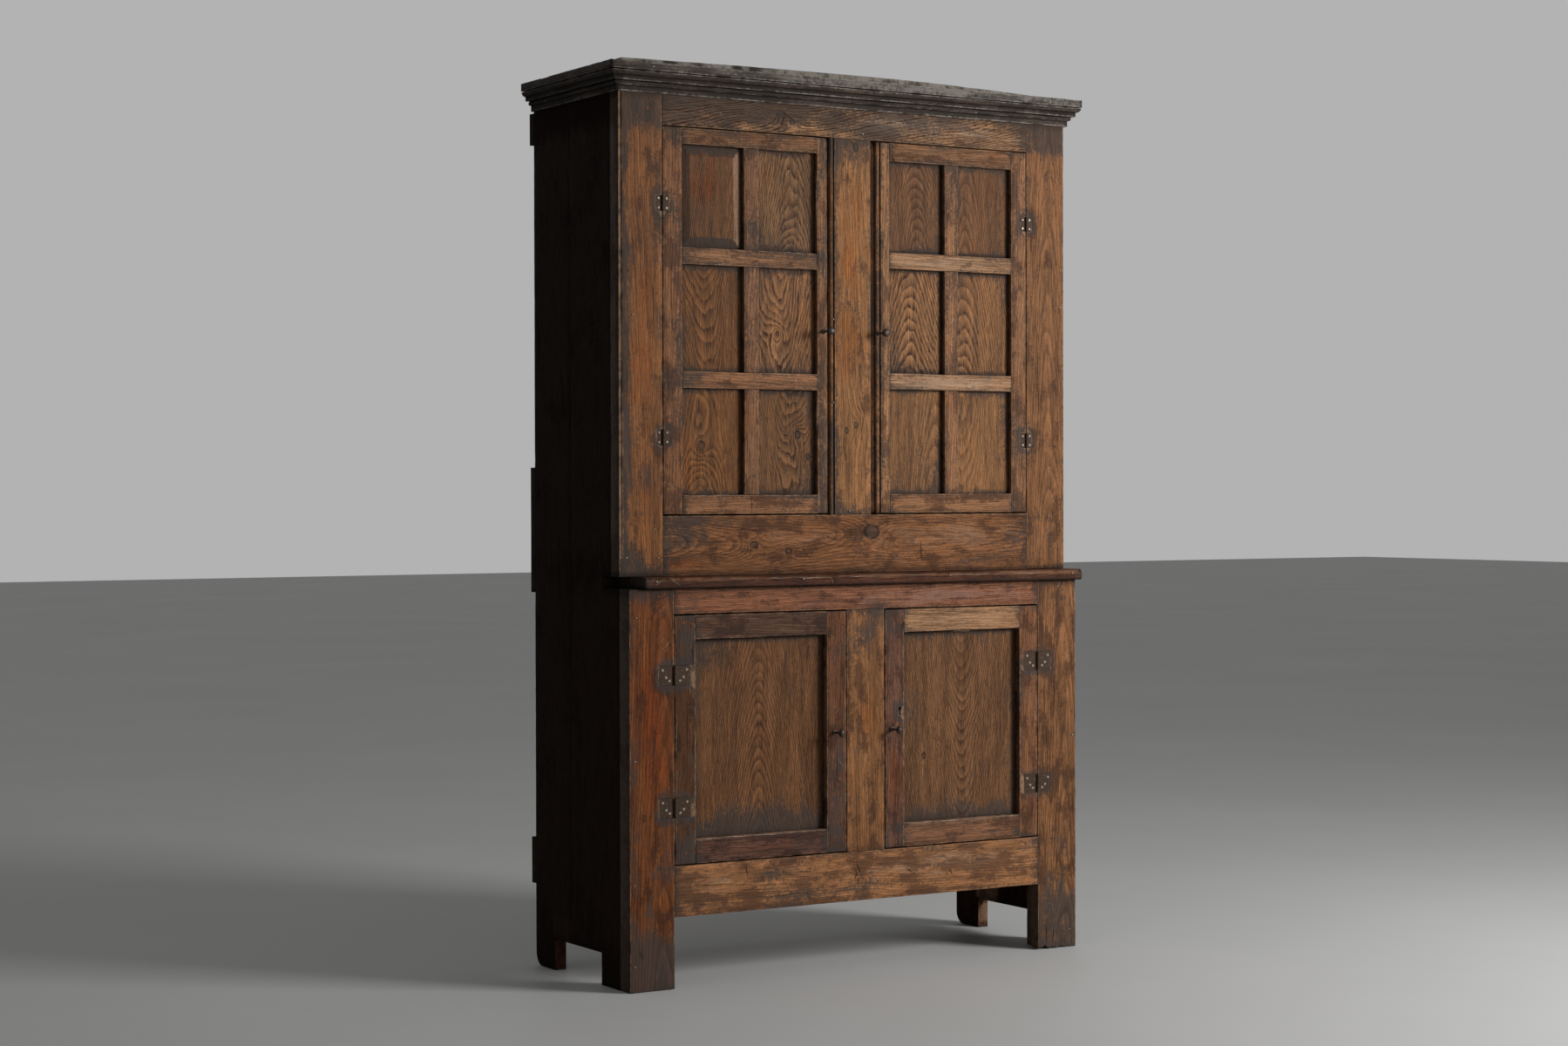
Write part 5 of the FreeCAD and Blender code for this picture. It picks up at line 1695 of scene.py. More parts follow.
DOOR_BUILDS = (
    Door(
        name="upper_left",
        seed=100,
        members={
            "hinge_stile": (Heart(0.04, 0.05, 0.03, 0.0045, (0.9, 0.84, 0.78), 0.6, 0.6, 0.1),),
            "closing_stile": (Heart(0.03, 0.04, 0.03, 0.0045, (1.05, 1.05, 1.0), 0.6, 0.5),),
            "rails": (
                Heart(0.05, 0.04, 0.03, 0.0045, (1.0, 0.98, 0.98), 0.6, 0.6),
                Heart(-0.04, 0.05, 0.02, 0.0045, (1.1, 1.1, 1.15), 0.5, 0.5, -0.1),
                Heart(0.05, 0.04, -0.03, 0.0045, (1.0, 1.05, 1.15), 0.5, 0.5, -0.1),
                Heart(0.05, 0.04, 0.03, 0.0045, (0.82, 0.82, 0.84), 0.6, 0.6),
            ),
            "muntins": (Heart(0.04, 0.05, 0.03, 0.0045, (0.92, 0.92, 0.94), 0.6, 0.6),),
        },
        panels={
            "panels": (
                Heart(-0.03, 0.07, 0.14, 0.0045, (0.80, 0.70, 0.56), 1.3, 1.0),
                Heart(0.02, 0.06, -0.16, 0.0045, (0.72, 0.70, 0.68), 1.5, 1.2),
                Heart(-0.02, 0.06, -0.16, 0.0045, (0.70, 0.61, 0.50), 1.3, 1.0),
                Heart(-0.03, 0.07, -0.16, 0.0060, (1.05, 1.03, 1.03), 1.9, 1.3),
                Heart(0.02, 0.05, 0.18, 0.0050, (0.78, 0.84, 0.92), 1.3, 1.2),
            ),
            "raised_panel": (Heart(0.12, 0.05, 0.16, 0.0045, (0.56, 0.52, 0.50), 0.6, 0.7),),
        },
        stile_edges=(-469.0, -98.0),
        rail_heights=((1093.0, 1138.0), (1387.0, 1426.0), (1675.0, 1714.0), (1953.5, 1991.0)),
        muntin=(-301.0, -261.0),
    ),
    Door(
        name="upper_right",
        seed=120,
        members={
            "hinge_stile": (Heart(0.04, 0.05, 0.03, 0.0045, (0.95, 0.95, 0.95), 0.8, 0.7),),
            "closing_stile": (Heart(0.04, 0.05, 0.03, 0.0045, (1.25, 1.3, 1.25), 0.6, 0.5),),
            "rails": (
                Heart(0.05, 0.04, 0.03, 0.0045, (1.0, 1.0, 1.0), 0.6, 0.6),
                Heart(-0.04, 0.05, 0.02, 0.0045, (1.3, 1.5, 1.7), 0.5, 0.5, -0.2),
                Heart(0.05, 0.05, -0.03, 0.0045, (1.25, 1.45, 1.6), 0.5, 0.5, -0.2),
                Heart(0.05, 0.04, 0.03, 0.0045, (0.85, 0.88, 0.92), 0.6, 0.6),
            ),
            "muntins": (Heart(0.04, 0.05, 0.03, 0.0045, (1.05, 1.05, 1.05), 0.6, 0.6),),
        },
        panels={
            "panels": (
                Heart(0.06, 0.06, 0.10, 0.0045, (0.9, 0.9, 0.9), 0.6, 0.7),
                Heart(-0.06, 0.06, -0.10, 0.0045, (0.98, 0.96, 0.92), 0.6, 0.6),
                Heart(-0.01, 0.05, 0.22, 0.0060, (1.05, 1.05, 1.05), 1.0, 1.5),
                Heart(-0.06, 0.06, 0.16, 0.0060, (1.0, 0.98, 0.96), 0.8, 1.2),
                Heart(0.01, 0.05, 0.18, 0.0045, (0.62, 0.60, 0.62), 0.8, 0.9),
                Heart(-0.05, 0.05, 0.10, 0.0045, (0.64, 0.60, 0.60), 0.6, 0.7),
            ),
        },
        stile_edges=(109.5, 474.5),
        rail_heights=((1093.0, 1139.0), (1393.5, 1432.5), (1686.5, 1725.5), (1947.0, 1991.0)),
        muntin=(272.5, 312.5),
    ),
    Door(
        name="lower_left",
        seed=140,
        members={
            "hinge_stile": (Heart(0.04, 0.05, 0.03, 0.0045, (0.36, 0.30, 0.25), 0.6, 0.5, 0.1),),
            "closing_stile": (Heart(0.04, 0.05, 0.03, 0.0045, (0.56, 0.46, 0.42), 0.6, 0.5, 0.1),),
            "rails": (
                Heart(0.06, 0.05, 0.03, 0.0045, (0.46, 0.43, 0.58), 0.6, 0.5, 0.15),
                Heart(-0.06, 0.05, 0.04, 0.0045, (0.44, 0.46, 0.60), 0.6, 0.5, 0.15),
            ),
        },
        panels={"panel": (Heart(0.0, 0.030, 0.20, 0.0058, (0.64, 0.59, 0.57), 0.7, 0.9),)},
        wavy=(-300.0, -170.0),
        stile_edges=(-463.0, -103.5),
        rail_heights=((286.0, 343.0), (804.0, 861.0)),
    ),
    Door(
        name="lower_right",
        seed=160,
        members={
            "hinge_stile": (Heart(0.04, 0.05, 0.03, 0.0045, (0.8, 0.72, 0.68), 0.6, 0.5, 0.05),),
            "closing_stile": (Heart(0.04, 0.05, 0.03, 0.0045, (0.58, 0.55, 0.70), 0.6, 0.5, 0.1),),
            "rails": (
                Heart(0.06, 0.05, 0.03, 0.0045, (0.78, 0.76, 0.82), 0.6, 0.5, 0.1),
                Heart(-0.06, 0.05, 0.04, 0.0045, (1.3, 1.45, 1.55), 0.5, 0.5, -0.25),
            ),
        },
        panels={"panel": (Heart(0.01, 0.030, -0.20, 0.0058, (0.68, 0.67, 0.71), 0.7, 0.85),)},
        wavy=(130.0, 460.0),
        stile_edges=(117.5, 463.0),
        rail_heights=((286.0, 343.0), (804.0, 861.0)),
    ),
)


# Iron


@dataclass
class IronWork:
    """The hinge leaves, lock and bolt, dressed as forged iron."""

    pace: float = 4 * MM

    def build(self) -> None:
        """Builds every iron piece that keeps its CAD shape."""
        plain = {
            "upper_hinge_frame_leaves": (HINGE_IRON, "hinge_iron"),
            "lower_hinge_frame_leaves": (HINGE_IRON, "hinge_iron"),
            "lock_case": (LOCK_IRON, "lock_iron"),
            "lock_bolt": (LOCK_IRON, "lock_iron"),
        }
        for door in DOORS:
            plain[f"{door}_hinge_leaves"] = (HINGE_IRON, "hinge_iron")
        for node, (finish, slot) in plain.items():
            self.forge(node, finish)

    def forge(self, node: str, finish: IronFinish) -> bpy.types.Object:
        """Builds one iron piece from its CAD node.

        Args:
            node: The CAD node.
            finish: The iron's finish.

        Returns:
            The piece.
        """
        mesh = merged_copy(node)
        sharp = [
            (edge.verts[0].co.copy(), edge.verts[1].co.copy())
            for edge in mesh.edges
            if len(edge.link_faces) == 2 and edge.calc_face_angle_signed(0.0) > math.radians(50)
        ]
        for axis in (0, 2):
            slice_up(mesh, axis, self.pace)
        points = np.array([vert.co[:] for vert in mesh.verts])
        made = finished(mesh, f"forged_{node}")
        set_attributes(made.data, arris=distance_to(points, sharp))
        made.data.materials.clear()
        made.data.materials.append(finish.material())
        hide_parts(node)
        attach(made, BODY_OF[node])
        LOG.info("%s: %d faces", made.name, len(made.data.polygons))
        return made


@dataclass
class Knob:
    """A forged knob with its collar and shank, and the catch on its spindle."""

    door: str
    front: float
    flattened: bool
    head_radius: float = 10 * MM
    flat_share: float = 0.65
    segments: int = 40
    collar: tuple[tuple[float, float], ...] = (
        (2.8, -9), (3.2, -3.6), (5.2, -3.1), (6.0, -2.0), (6.2, -0.4), (3.0, -0.35), (3.0, 20), (0.0, 20)
    )
    arris_gap: float = 10 * MM

    def build(self) -> None:
        """Builds the knob and its catch, which stand for the latch of the door."""
        node = f"{self.door}_latch"
        low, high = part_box(node)
        axis_x, axis_z = (low.x + high.x) / 2, high.z - self.head_radius
        knob = self.turned(low.y, axis_x, axis_z)
        catch = self.catch(node, high.y - 8 * MM)
        for made in (knob, catch):
            made.data.materials.append(KNOB_IRON.material())
            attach(made, BODY_OF[node])
        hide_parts(node)
        LOG.info("%s knob and catch", self.door)

    def turned(self, tip: float, axis_x: float, axis_z: float) -> bpy.types.Object:
        """Returns the knob, its outline spun round the spindle.

        Args:
            tip: How far out the knob reaches.
            axis_x: The spindle's place.
            axis_z: The spindle's height.

        Returns:
            The knob.
        """
        length = 14 * MM
        throat = tip + length
        outline = [(0.0, tip)]
        for share in (0.12, 0.3, 0.5, 0.68, 0.82, 0.92, 0.98, 1.0):
            turn = share * math.pi * 0.84
            radius = self.head_radius * math.sin(turn) ** 0.8
            outline.append((radius, tip + length * 0.5 * (1 - math.cos(turn))))
        outline += [(2.5 * MM, throat + 0.6 * MM), (2.4 * MM, throat + 3 * MM)]
        outline += [(radius * MM, self.front + y * MM) for radius, y in self.collar]
        mesh = bmesh.new()
        verts = [mesh.verts.new((radius, y, 0.0)) for radius, y in outline]
        edges = [mesh.edges.new(pair) for pair in zip(verts, verts[1:])]
        bmesh.ops.spin(
            mesh, geom=verts + edges, cent=(0, 0, 0), axis=(0, 1, 0), angle=math.tau,
            steps=self.segments, use_merge=True,
        )
        bmesh.ops.remove_doubles(mesh, verts=mesh.verts, dist=0.01 * MM)
        bmesh.ops.recalc_face_normals(mesh, faces=mesh.faces)
        for vert in mesh.verts:
            if vert.co.y < throat + 0.1 * MM:
                if self.flattened:
                    vert.co.x *= self.flat_share
                dent = noise.noise(vert.co * 130 + Vector((axis_x * 50, axis_z * 50, 0)))
                vert.co.x *= 1 - 0.05 * abs(dent)
                vert.co.z *= 1 - 0.05 * abs(dent)
        bmesh.ops.translate(mesh, verts=mesh.verts, vec=(axis_x, 0, axis_z))
        made = finished(mesh, f"{self.door}_knob", 50)
        set_attributes(made.data, arris=np.full(len(made.data.vertices), self.arris_gap))
        return made

    def catch(self, node: str, front: float) -> bpy.types.Object:
        """Returns the catch, a copy of the latch's plate alone.

        Args:
            node: The latch's CAD node.
            front: What reaches further forward than this is left out.

        Returns:
            The catch.
        """
        mesh = merged_copy(node)
        mesh.verts.ensure_lookup_table()
        waste = []
        for members in islands(mesh):
            verts = [mesh.verts[index] for index in members]
            if min(vert.co.y for vert in verts) < front:
                waste += verts
        bmesh.ops.delete(mesh, geom=waste, context="VERTS")
        made = finished(mesh, f"{self.door}_catch")
        set_attributes(made.data, arris=np.full(len(made.data.vertices), self.arris_gap))
        return made


# Fastenings


class Head(Enum):
    """The heads that show: forged nails, wooden pegs and slotted screws."""

    NAIL = "nail"
    PEG = "peg"
    SCREW = "screw"


# How far each head stands proud in millimetres, its sides, and its top's share of its radius
HEAD_SHAPES = {Head.NAIL: (1.5, 9, 0.5), Head.PEG: (0.5, 12, 0.9), Head.SCREW: (0.6, 20, 0.9)}


@dataclass(frozen=True)
class Fastening:
    """One head, its place on the front in millimetres."""

    head: Head
    x: float
    z: float
    radius: float = 3.4


@dataclass
class Fastenings:
    """The heads on one body, joined into one piece for each kind."""

    name: str
    body: str
    front: float
    heads: tuple[Fastening, ...]
    finish: dict[Head, Finish] = field(
        default_factory=lambda: {Head.NAIL: NAIL_IRON, Head.PEG: FRAME_WOOD, Head.SCREW: SCREW_IRON}
    )

    def build(self) -> None:
        """Builds the heads of every kind that this body carries."""
        for kind in Head:
            mine = [head for head in self.heads if head.head is kind]
            if not mine:
                continue
            mesh = bmesh.new()
            for number, head in enumerate(mine):
                self.add_head(mesh, head, number)
            made = finished(mesh, f"{self.name}_{kind.value}s", 30)
            if kind is Head.PEG:
                dress_small_wood(made, (0.72, 0.66, 0.62))
            else:
                depths = np.array([vert.co.y for vert in made.data.vertices])
                set_attributes(made.data, arris=depths - depths.min())
            made.data.materials.append(self.finish[kind].material())
            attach(made, self.body)
            LOG.info("%s: %d heads", made.name, len(mine))

    def add_head(self, mesh: BMesh, head: Fastening, number: int) -> None:
        """Adds one head to a mesh.

        Args:
            mesh: The mesh that holds the heads of one kind.
            head: The head's kind and place.
            number: Its number, which turns it and sets its small faults.
        """
        radius = head.radius * MM
        proud, sides, top = HEAD_SHAPES[head.head]
        rise = (proud + 1.2) * MM
        made = bmesh.ops.create_cone(
            mesh, cap_ends=True, segments=sides, radius1=radius, radius2=radius * top, depth=rise
        )
        verts = made["verts"]
        faces = [face for vert in verts for face in vert.link_faces]
        crown = max(faces, key=lambda face: face.calc_center_median().z)
        if head.head is Head.NAIL:
            bmesh.ops.inset_region(mesh, faces=[crown], thickness=radius * 0.18, depth=0.35 * MM)
        if head.head is Head.SCREW:
            self.slot_screw(mesh, crown, radius)
        members = self.connected(verts)
        turn = Matrix.Rotation(number * 1.9 + head.x, 3, "Z")
        squash = Matrix.Diagonal((1.0, 0.86 + 0.14 * math.sin(number * 2.3), 1.0))
        if head.head is Head.SCREW:
            squash = Matrix.Identity(3)
        face_front = Matrix.Rotation(math.radians(90), 3, "X")
        bmesh.ops.transform(mesh, verts=members, matrix=(face_front @ turn @ squash).to_4x4())
        place = (head.x * MM, self.front - proud * MM + rise / 2, head.z * MM)
        bmesh.ops.translate(mesh, verts=members, vec=place)

    def slot_screw(self, mesh: BMesh, crown: bmesh.types.BMFace, radius: float) -> None:
        """Sinks a slot across a screw's head.

        Args:
            mesh: The mesh that holds the head.
            crown: The head's top face.
            radius: The head's radius.
        """
        half = 0.45 * MM
        faces = [crown]
        for side in (-1, 1):
            edges = list({edge for face in faces for edge in face.edges})
            verts = list({vert for face in faces for vert in face.verts})
            cut = bmesh.ops.bisect_plane(
                mesh, geom=verts + edges + faces, dist=0.001 * MM,
                plane_co=(side * half, 0, 0), plane_no=(1, 0, 0),
            )
            faces = [item for item in cut["geom"] if isinstance(item, bmesh.types.BMFace)]
        middle = min(faces, key=lambda face: abs(face.calc_center_median().x))
        grown = bmesh.ops.extrude_face_region(mesh, geom=[middle])
        sunk = [item for item in grown["geom"] if isinstance(item, bmesh.types.BMVert)]
        bmesh.ops.delete(mesh, geom=[middle], context="FACES_ONLY")
        bmesh.ops.translate(mesh, verts=sunk, vec=(0, 0, -0.8 * MM))

    def connected(self, verts: list[bmesh.types.BMVert]) -> list[bmesh.types.BMVert]:
        """Returns every vertex joined to some vertices.

        Args:
            verts: The vertices.

        Returns:
            Those vertices and all joined to them.
        """
        live = [vert for vert in verts if vert.is_valid]
        seen, waiting = set(live), list(live)
        while waiting:
            for edge in waiting.pop().link_edges:
                for vert in edge.verts:
                    if vert not in seen:
                        seen.add(vert)
                        waiting.append(vert)
        return list(seen)


@dataclass(frozen=True)
class Split:
    """A crack or a scratch, its middle, length and width in millimetres and its lean in degrees."""

    x: float
    z: float
    length: float
    lean: float = 0.0
    width: float = 1.4


@dataclass
class Splits:
    """The cracks or the scratches on one body, as thin slivers sunk in the surface."""

    name: str
    body: str
    front: float
    marks: tuple[Split, ...]
    finish: WoodFinish

    def build(self) -> None:
        """Builds the slivers, joined into one piece."""
        mesh = bmesh.new()
        for number, mark in enumerate(self.marks):
            made = bmesh.ops.create_grid(mesh, x_segments=1, y_segments=14, size=0.5)
            verts = made["verts"]
            for vert in verts:
                share = vert.co.y * 2
                plump = 0.6 + 0.5 * rough(vert.co.y * 6, number, 0)
                bulge = max(0.06, (1 - share * share) * plump)
                wander = 2.2 * MM * rough(vert.co.y * 3.5, number * 1.7, 4.0)
                vert.co.x = vert.co.x * mark.width * MM * bulge + wander
                vert.co.y *= mark.length * MM
            lean = Matrix.Rotation(math.radians(mark.lean), 4, "Z")
            bmesh.ops.transform(mesh, verts=verts, matrix=Matrix.Rotation(math.radians(90), 4, "X") @ lean)
            bmesh.ops.translate(mesh, verts=verts, vec=(mark.x * MM, self.front - 0.05 * MM, mark.z * MM))
        bmesh.ops.solidify(mesh, geom=mesh.faces[:], thickness=0.7 * MM)
        bmesh.ops.recalc_face_normals(mesh, faces=mesh.faces)
        made = finished(mesh, self.name, 30)
        dress_small_wood(made, (1.0, 1.0, 1.0))
        made.data.materials.append(self.finish.material())
        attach(made, self.body)
        LOG.info("%s: %d marks", made.name, len(self.marks))


def dress_small_wood(made: bpy.types.Object, tone: Colour) -> None:
    """Gives a small wooden piece the attributes that the wood reads.

    Args:
        made: The piece.
        tone: Its tint.
    """
    points = np.array([vert.co[:] for vert in made.data.vertices])
    count = len(points)
    knots = np.full((count, 3), FAR_KNOT)
    set_attributes(
        made.data, rings=points / (4 * MM), fibre=points[:, [0, 2, 1]],
        tone=np.tile([*tone, 1.0], (count, 1)), seam=np.full(count, FAR), arris=np.full(count, FAR),
        figure=np.full(count, 0.5), patch=np.tile([0.2, 0.0, 0.0, 0.0], (count, 1)),
        stain=np.zeros(count), knot_1=knots, knot_2=knots, knot_3=knots,
    )


def nails(*places: tuple[float, float], radius: float = 3.4) -> tuple[Fastening, ...]:
    """Returns nails at some places."""
    return tuple(Fastening(Head.NAIL, x, z, radius * 1.15) for x, z in places)


def pegs(*places: tuple[float, float], radius: float = 4.0) -> tuple[Fastening, ...]:
    """Returns pegs at some places."""
    return tuple(Fastening(Head.PEG, x, z, radius) for x, z in places)


def screws(*places: tuple[float, float], radius: float = 3.0) -> tuple[Fastening, ...]:
    """Returns screws at some places."""
    return tuple(Fastening(Head.SCREW, x, z, radius) for x, z in places)


UPPER_HINGE_HEIGHTS = (1272.0, 1813.0)
LOWER_HINGE_HEIGHTS = (418.0, 723.0)
UPPER_HINGE_X = 520.2
LOWER_HINGE_X = 518.2


def leaf_screws(upper: bool, side: int, outward: int) -> tuple[Fastening, ...]:
    """Returns the screws of a door's hinge leaves.

    Args:
        upper: Whether the door is an upper one.
        side: -1 for a door hung on the left, 1 for one on the right.
        outward: 1 for the leaves on the frame, -1 for those on the door.

    Returns:
        The screws.
    """
    if upper:
        x = side * (UPPER_HINGE_X + outward * 10.5)
        places = [(x, z + rise) for z in UPPER_HINGE_HEIGHTS for rise in (-11.0, 11.0)]
        return screws(*places, radius=2.6)
    x = side * LOWER_HINGE_X
    outer, inner = outward * side * 32.0, outward * side * 14.0
    places = [
        (x + shift, z + rise)
        for z in LOWER_HINGE_HEIGHTS
        for shift, rise in ((outer, 13.0), (inner, -12.0), (outer - side * outward * 9, -4.0))
    ]
    return screws(*places, radius=3.2)


DOOR_PEGS = {
    "upper_right": (3.0, (94, 1962), (506, 1974), (491, 1960), (495, 1125), (507, 1104), (94, 1110)),
    "upper_left": (2.8, (-505, 1972), (-486, 1962), (-500, 1118), (-88, 1120)),
    "lower_left": (3.6, (-495, 844), (-473, 841), (-94, 835), (-70, 837), (-490, 312)),
    "lower_right": (3.6, (77, 836), (98, 834), (482, 834), (505, 836), (482, 312)),
}


def front_of(name: str) -> float:
    """Returns where the front of an upper or lower stage's frame lies, by a name that starts so."""
    return UPPER_FRONT if name.startswith("upper") else LOWER_FRONT


def all_fastenings() -> tuple[Fastenings, ...]:
    """Returns the fastenings of every body, from the cornice down.

    Returns:
        The fastenings, one entry for each piece.
    """
    made = [
        Fastenings("fascia", "case", FASCIA_FRONT, nails((-562, 2120), (73, 2117), (570, 2118), radius=3.2)),
        Fastenings("upper_frame", "case", UPPER_FRONT, nails(
            (-600, 1553), (-617, 995), (-546, 1059), (-534, 993), (624, 1609), (614, 1004), (546, 989),
            (-53, 1558), (-53, 1359), (-8, 1099), (3, 2012), (32, 2007), radius=3.0,
        ) + pegs((-611, 1654), (554, 2027), (9, 1070), (40, 1076), (-560, 2030), (-590, 2010), (557, 1412))),
        Fastenings("ledge", "case", LEDGE_FRONT, nails((-574, 940), (-179, 940), (242, 941), (615, 940))),
        Fastenings("lower_frame", "case", LOWER_FRONT, nails(
            (-619, 858), (-623, 530), (-626, 246), (-625, 60), (582, 908), (623, 864), (626, 533),
            (616, 45), (1, 853), radius=3.2,
        ) + pegs((-560, 905), (590, 230), (-20, 235), (-15, 215))),
    ]
    for door, (radius, *places) in DOOR_PEGS.items():
        heads = pegs(*places, radius=radius)
        made.append(Fastenings(f"{door}_door", f"{door}_door", front_of(door), heads))
    for stage in ("upper", "lower"):
        heads = leaf_screws(stage == "upper", -1, 1) + leaf_screws(stage == "upper", 1, 1)
        made.append(Fastenings(f"{stage}_hinge_frame", "case", front_of(stage), heads))
    for door in DOORS:
        heads = leaf_screws(door.startswith("upper"), -1 if door.endswith("left") else 1, -1)
        made.append(Fastenings(f"{door}_hinge", f"{door}_door", front_of(door), heads))
    return tuple(made)


SPLIT_PLACES = {
    "upper_frame_cracks": (
        (557, 1416, 150, 1.5, 1.6), (-615, 1395, 90, -2), (-21, 1240, 45, 12, 2.2),
        (201, 1000, 46, 4, 2.4), (-59, 1033, 34, 70, 2.6), (-40, 1030, 22, 95, 2.4),
        (-545, 1560, 120, 1, 1.2), (30, 1300, 70, -8, 1.8), (20, 1345, 26, 30, 2.6),
        (-250, 1040, 26, 100, 1.8), (330, 1062, 60, 88, 1.2), (600, 1700, 110, -1, 1.2),
        (-400, 2045, 90, 91, 1.2), (-180, 2036, 30, 60, 2.4), (5, 1978, 24, 15, 3.0),
    ),
    "lower_frame_cracks": (
        (-15, 245, 34, 25, 3.2), (-22, 225, 24, -20, 3.0), (131, 228, 26, 50, 2.4),
        (255, 215, 20, 35, 3.0), (-326, 257, 26, 8, 3.0), (536, 304, 40, 10, 2.2),
        (541, 249, 60, 4, 2.4), (80, 262, 60, 92, 1.4), (330, 240, 90, 88, 1.4),
        (-200, 195, 120, 91, 1.6), (420, 192, 60, 87, 1.8), (-608, 86, 26, 20, 2.4),
        (-420, 878, 70, 91, 1.2), (180, 894, 120, 89, 1.0), (570, 640, 90, 2, 1.4),
        (546, 40, 44, 3, 3.0), (566, 30, 34, -4, 2.6),
    ),
    "upper_left_door_cracks": (
        (-282, 1114, 40, 2, 1.6), (-497, 1600, 160, 1, 1.4), (-508, 1400, 90, -1, 1.2),
    ),
    "upper_right_door_cracks": (
        (123, 1949, 30, 40, 2.6), (498, 1500, 140, 1, 1.2), (330, 1972, 60, 91, 1.2),
    ),
    "lower_left_door_cracks": (
        (-470, 770, 60, 3, 2.2), (-486, 600, 120, 1, 1.4), (-76, 480, 90, -1, 1.4),
    ),
    "lower_left_door_scratches": (
        (-64, 497, 34, 35, 1.0), (-67, 461, 30, 60, 1.0), (-466, 560, 110, 0.5, 1.2),
        (-466, 430, 90, -0.5, 1.2), (-478, 690, 30, 5, 1.6), (-420, 341, 86, 90, 1.6),
        (-350, 341.5, 90, 90, 2.0), (-270, 341, 100, 90, 1.8), (-180, 341.5, 110, 90, 2.0),
        (-130, 341, 50, 90, 1.4), (-514, 600, 120, 0, 1.0), (-514, 480, 70, 0, 1.0),
    ),
    "lower_right_door_scratches": (
        (160, 341, 80, 90, 1.4), (240, 341.5, 90, 90, 1.8), (330, 341, 100, 90, 1.8),
        (420, 341.5, 80, 90, 1.4), (115, 560, 120, 0, 1.0), (114, 760, 70, 0, 1.0),
        (290, 803, 60, 90, 1.2),
    ),
    "upper_left_door_scratches": (
        (-420, 1425, 70, 90, 1.2), (-200, 1424.5, 90, 90, 1.2), (-360, 1676, 60, 90, 1.0),
        (-170, 1712.5, 80, 90, 1.2), (-100, 1840, 120, 0, 1.0), (-100, 1330, 90, 0, 1.0),
        (-340, 1137, 110, 90, 1.2),
    ),
    "lower_frame_scratches": (
        (-539, 794, 34, -45, 1.2), (-545, 780, 26, -40, 1.0), (-551, 806, 20, -52, 1.0),
        (560, 300, 40, 8, 1.2), (-604, 420, 30, 10, 1.0),
    ),
    "ledge_cracks": (
        (-262, 938, 70, 91, 1.8), (-205, 935, 60, 88, 1.6), (-120, 937, 80, 90, 1.8),
        (-40, 939, 70, 92, 1.4), (60, 936, 120, 89, 1.4), (210, 938, 110, 91, 1.3),
        (380, 937, 130, 90, 1.3), (540, 938, 90, 88, 1.2), (-420, 936, 120, 90, 1.2),
    ),
    # the long level ones along the top of the nosing are pale slivers that also paint its highlight
    "ledge_scratches": (
        (-567, 938, 30, -50, 1.2), (-527, 940, 40, 60, 1.2), (-100, 936, 22, 30, 1.2),
        (-250, 943, 90, 91, 1.4), (-150, 942, 110, 89, 1.8), (-20, 943, 130, 90, 1.5),
        (130, 943, 120, 91, 1.3), (300, 943, 160, 89, 1.4), (470, 943, 130, 90, 1.4),
    ),
    "lower_right_door_cracks": (
        (86, 700, 60, 2, 1.4), (300, 835, 90, 91, 1.2), (490, 500, 110, 1, 1.2),
    ),
}


def all_splits() -> tuple[Splits, ...]:
    """Returns the cracks and scratches of every body.

    Returns:
        The splits, one entry for each piece.
    """
    fronts = {"upper": UPPER_FRONT, "lower": LOWER_FRONT, "ledge": LEDGE_FRONT}
    made = []
    for name, rows in SPLIT_PLACES.items():
        place, _, kind = name.rpartition("_")
        body = place if place.endswith("door") else "case"
        marks = tuple(Split(*row) for row in rows)
        finish = CRACK if kind == "cracks" else SCRATCH
        made.append(Splits(name, body, fronts[name.split("_")[0]], marks, finish))
    return tuple(made)


# The studio


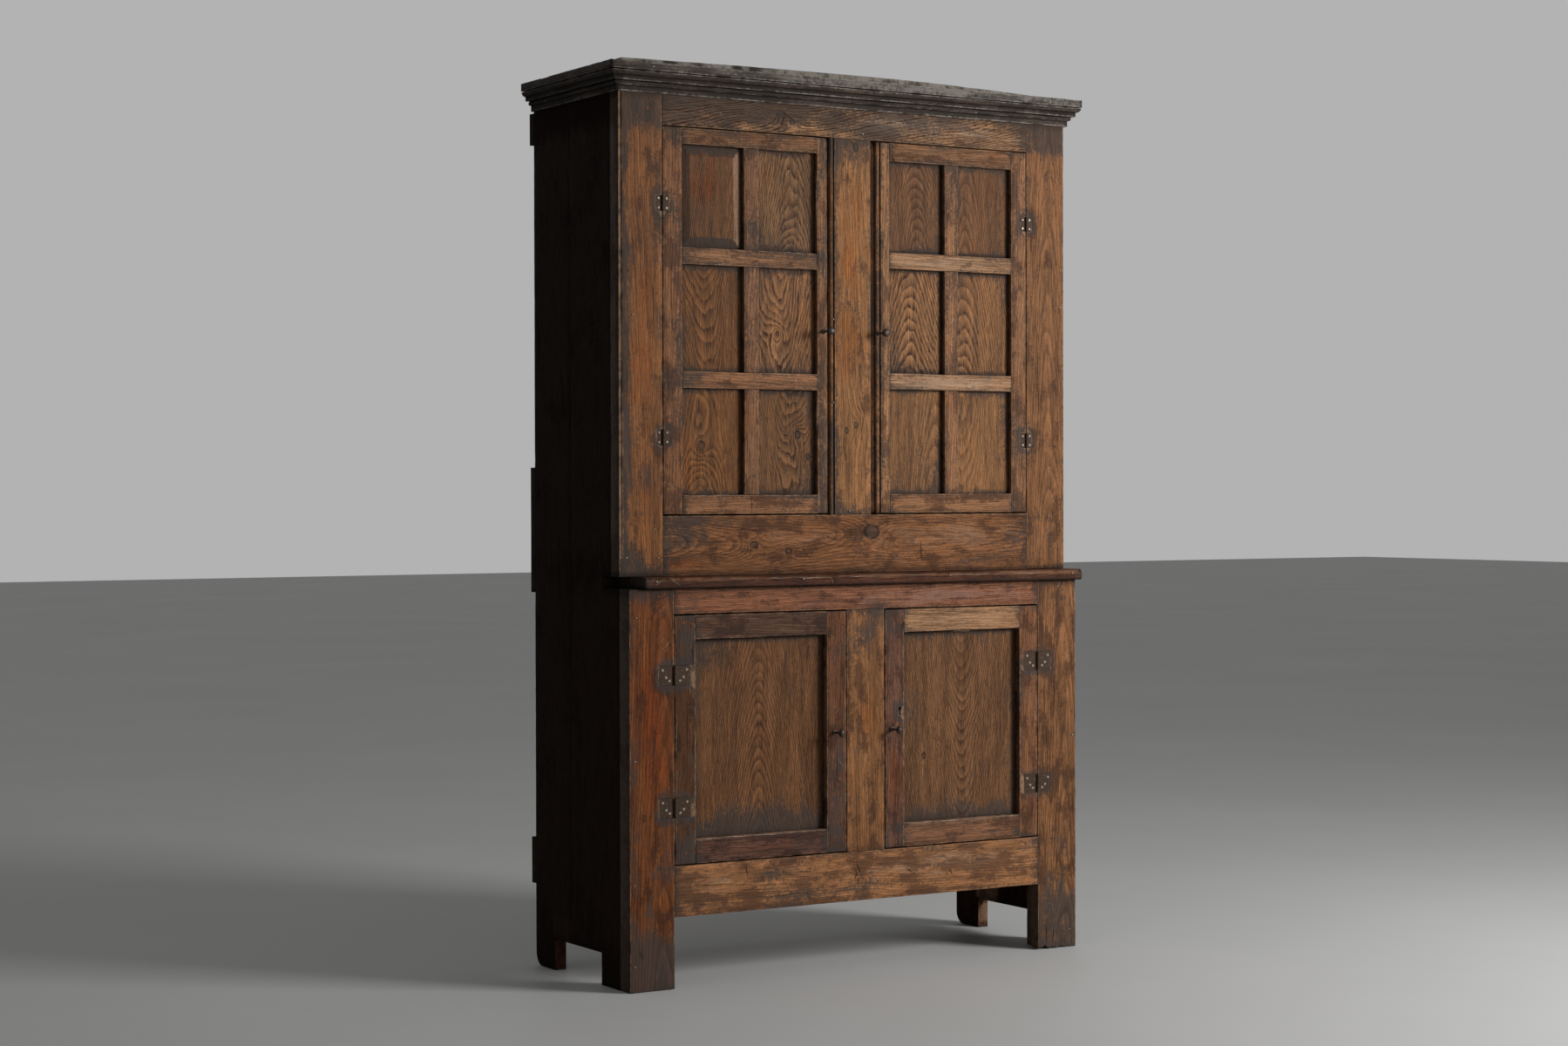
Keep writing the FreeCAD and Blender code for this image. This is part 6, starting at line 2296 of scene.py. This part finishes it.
@dataclass
class Studio:
    """A plain pale floor, soft light from the right, and a camera where the photographer stood."""

    floor_size: float = 30.0
    floor_roughness: float = 0.62
    floor_colours: tuple[Colour, Colour] = ((0.50, 0.50, 0.49), (0.60, 0.60, 0.59))
    camera_place: Place = (-3.6970, -5.8836, 1.1473)
    camera_yaw: float = 0.5511
    camera_pitch: float = -0.0114
    camera_roll: float = -0.0022
    camera_lens: float = 64.72
    film_width: float = 36.0
    backdrop_level: float = 0.45
    world_level: float = 0.16
    key_place: Place = (3.0, -3.8, 2.3)
    key_aim: Place = (0.0, -0.2, 1.15)
    key_power: float = 230.0
    key_size: float = 1.6

    def build(self) -> None:
        """Builds the floor, the lights and the camera."""
        self.lay_floor()
        self.light()
        self.set_camera()

    def lay_floor(self) -> None:
        """Lays the floor."""
        mesh = bmesh.new()
        bmesh.ops.create_grid(mesh, x_segments=2, y_segments=2, size=self.floor_size)
        floor = finished(mesh, "studio_floor")
        made = bpy.data.materials.new("pale_floor")
        made.use_nodes = True
        nodes = Nodes(made.node_tree)
        shader = made.node_tree.nodes["Principled BSDF"]
        place = nodes.add("ShaderNodeTexCoord").outputs["Object"]
        cloud = nodes.noise(place, 0.8, 0.8, 5.0)
        nodes.join(nodes.mix(cloud, *self.floor_colours), shader.inputs["Base Color"])
        shader.inputs["Roughness"].default_value = self.floor_roughness
        floor.data.materials.append(made)

    def light(self) -> None:
        """Lights the cupboard from the right, with an even sky."""
        world = bpy.data.worlds.new("studio_sky")
        bpy.context.scene.world = world
        world.use_nodes = True
        nodes = Nodes(world.node_tree)
        background = world.node_tree.nodes["Background"]
        path = nodes.add("ShaderNodeLightPath")
        seen = nodes.math("MAXIMUM", path.outputs["Is Camera Ray"], path.outputs["Is Glossy Ray"])
        level = nodes.math("MULTIPLY_ADD", seen, self.backdrop_level - self.world_level, self.world_level)
        background.inputs["Color"].default_value = (1.0, 1.0, 1.0, 1.0)
        nodes.join(level, background.inputs["Strength"])
        data = bpy.data.lights.new("key", "AREA")
        data.energy, data.size = self.key_power, self.key_size
        key = bpy.data.objects.new("key", data)
        key.location = self.key_place
        aim = Vector(self.key_aim) - key.location
        key.rotation_euler = aim.to_track_quat("-Z", "Y").to_euler()
        bpy.context.scene.collection.objects.link(key)

    def set_camera(self) -> None:
        """Sets the camera."""
        yaw, pitch, roll = self.camera_yaw, self.camera_pitch, self.camera_roll
        ahead = Vector((math.sin(yaw) * math.cos(pitch), math.cos(yaw) * math.cos(pitch), math.sin(pitch)))
        right = Vector((math.cos(yaw), -math.sin(yaw), 0.0))
        up = right.cross(ahead)
        level = right * math.cos(roll) + up * math.sin(roll)
        upright = up * math.cos(roll) - right * math.sin(roll)
        data = bpy.data.cameras.new("photographer")
        data.lens = self.camera_lens
        data.sensor_width = self.film_width
        camera = bpy.data.objects.new("photographer", data)
        camera.matrix_world = Matrix.Translation(self.camera_place) @ Matrix(
            (level, upright, -ahead)
        ).transposed().to_4x4()
        bpy.context.scene.collection.objects.link(camera)
        bpy.context.scene.camera = camera


def main() -> None:
    """Builds the cupboard and the studio, piece by piece."""
    logging.basicConfig(level=logging.INFO, format="%(message)s")
    Studio().build()
    Carcass().build()
    FrontFrames().build()
    Ledge(seed=65).build()
    Cornice().build()
    for door in DOOR_BUILDS:
        door.build()
    IronWork().build()
    for door in DOORS:
        Knob(door, front_of(door), door.startswith("lower")).build()
    for fastenings in all_fastenings():
        fastenings.build()
    for splits in all_splits():
        splits.build()
    bpy.context.scene.view_settings.view_transform = "Standard"


if __name__ == "__main__":
    main()
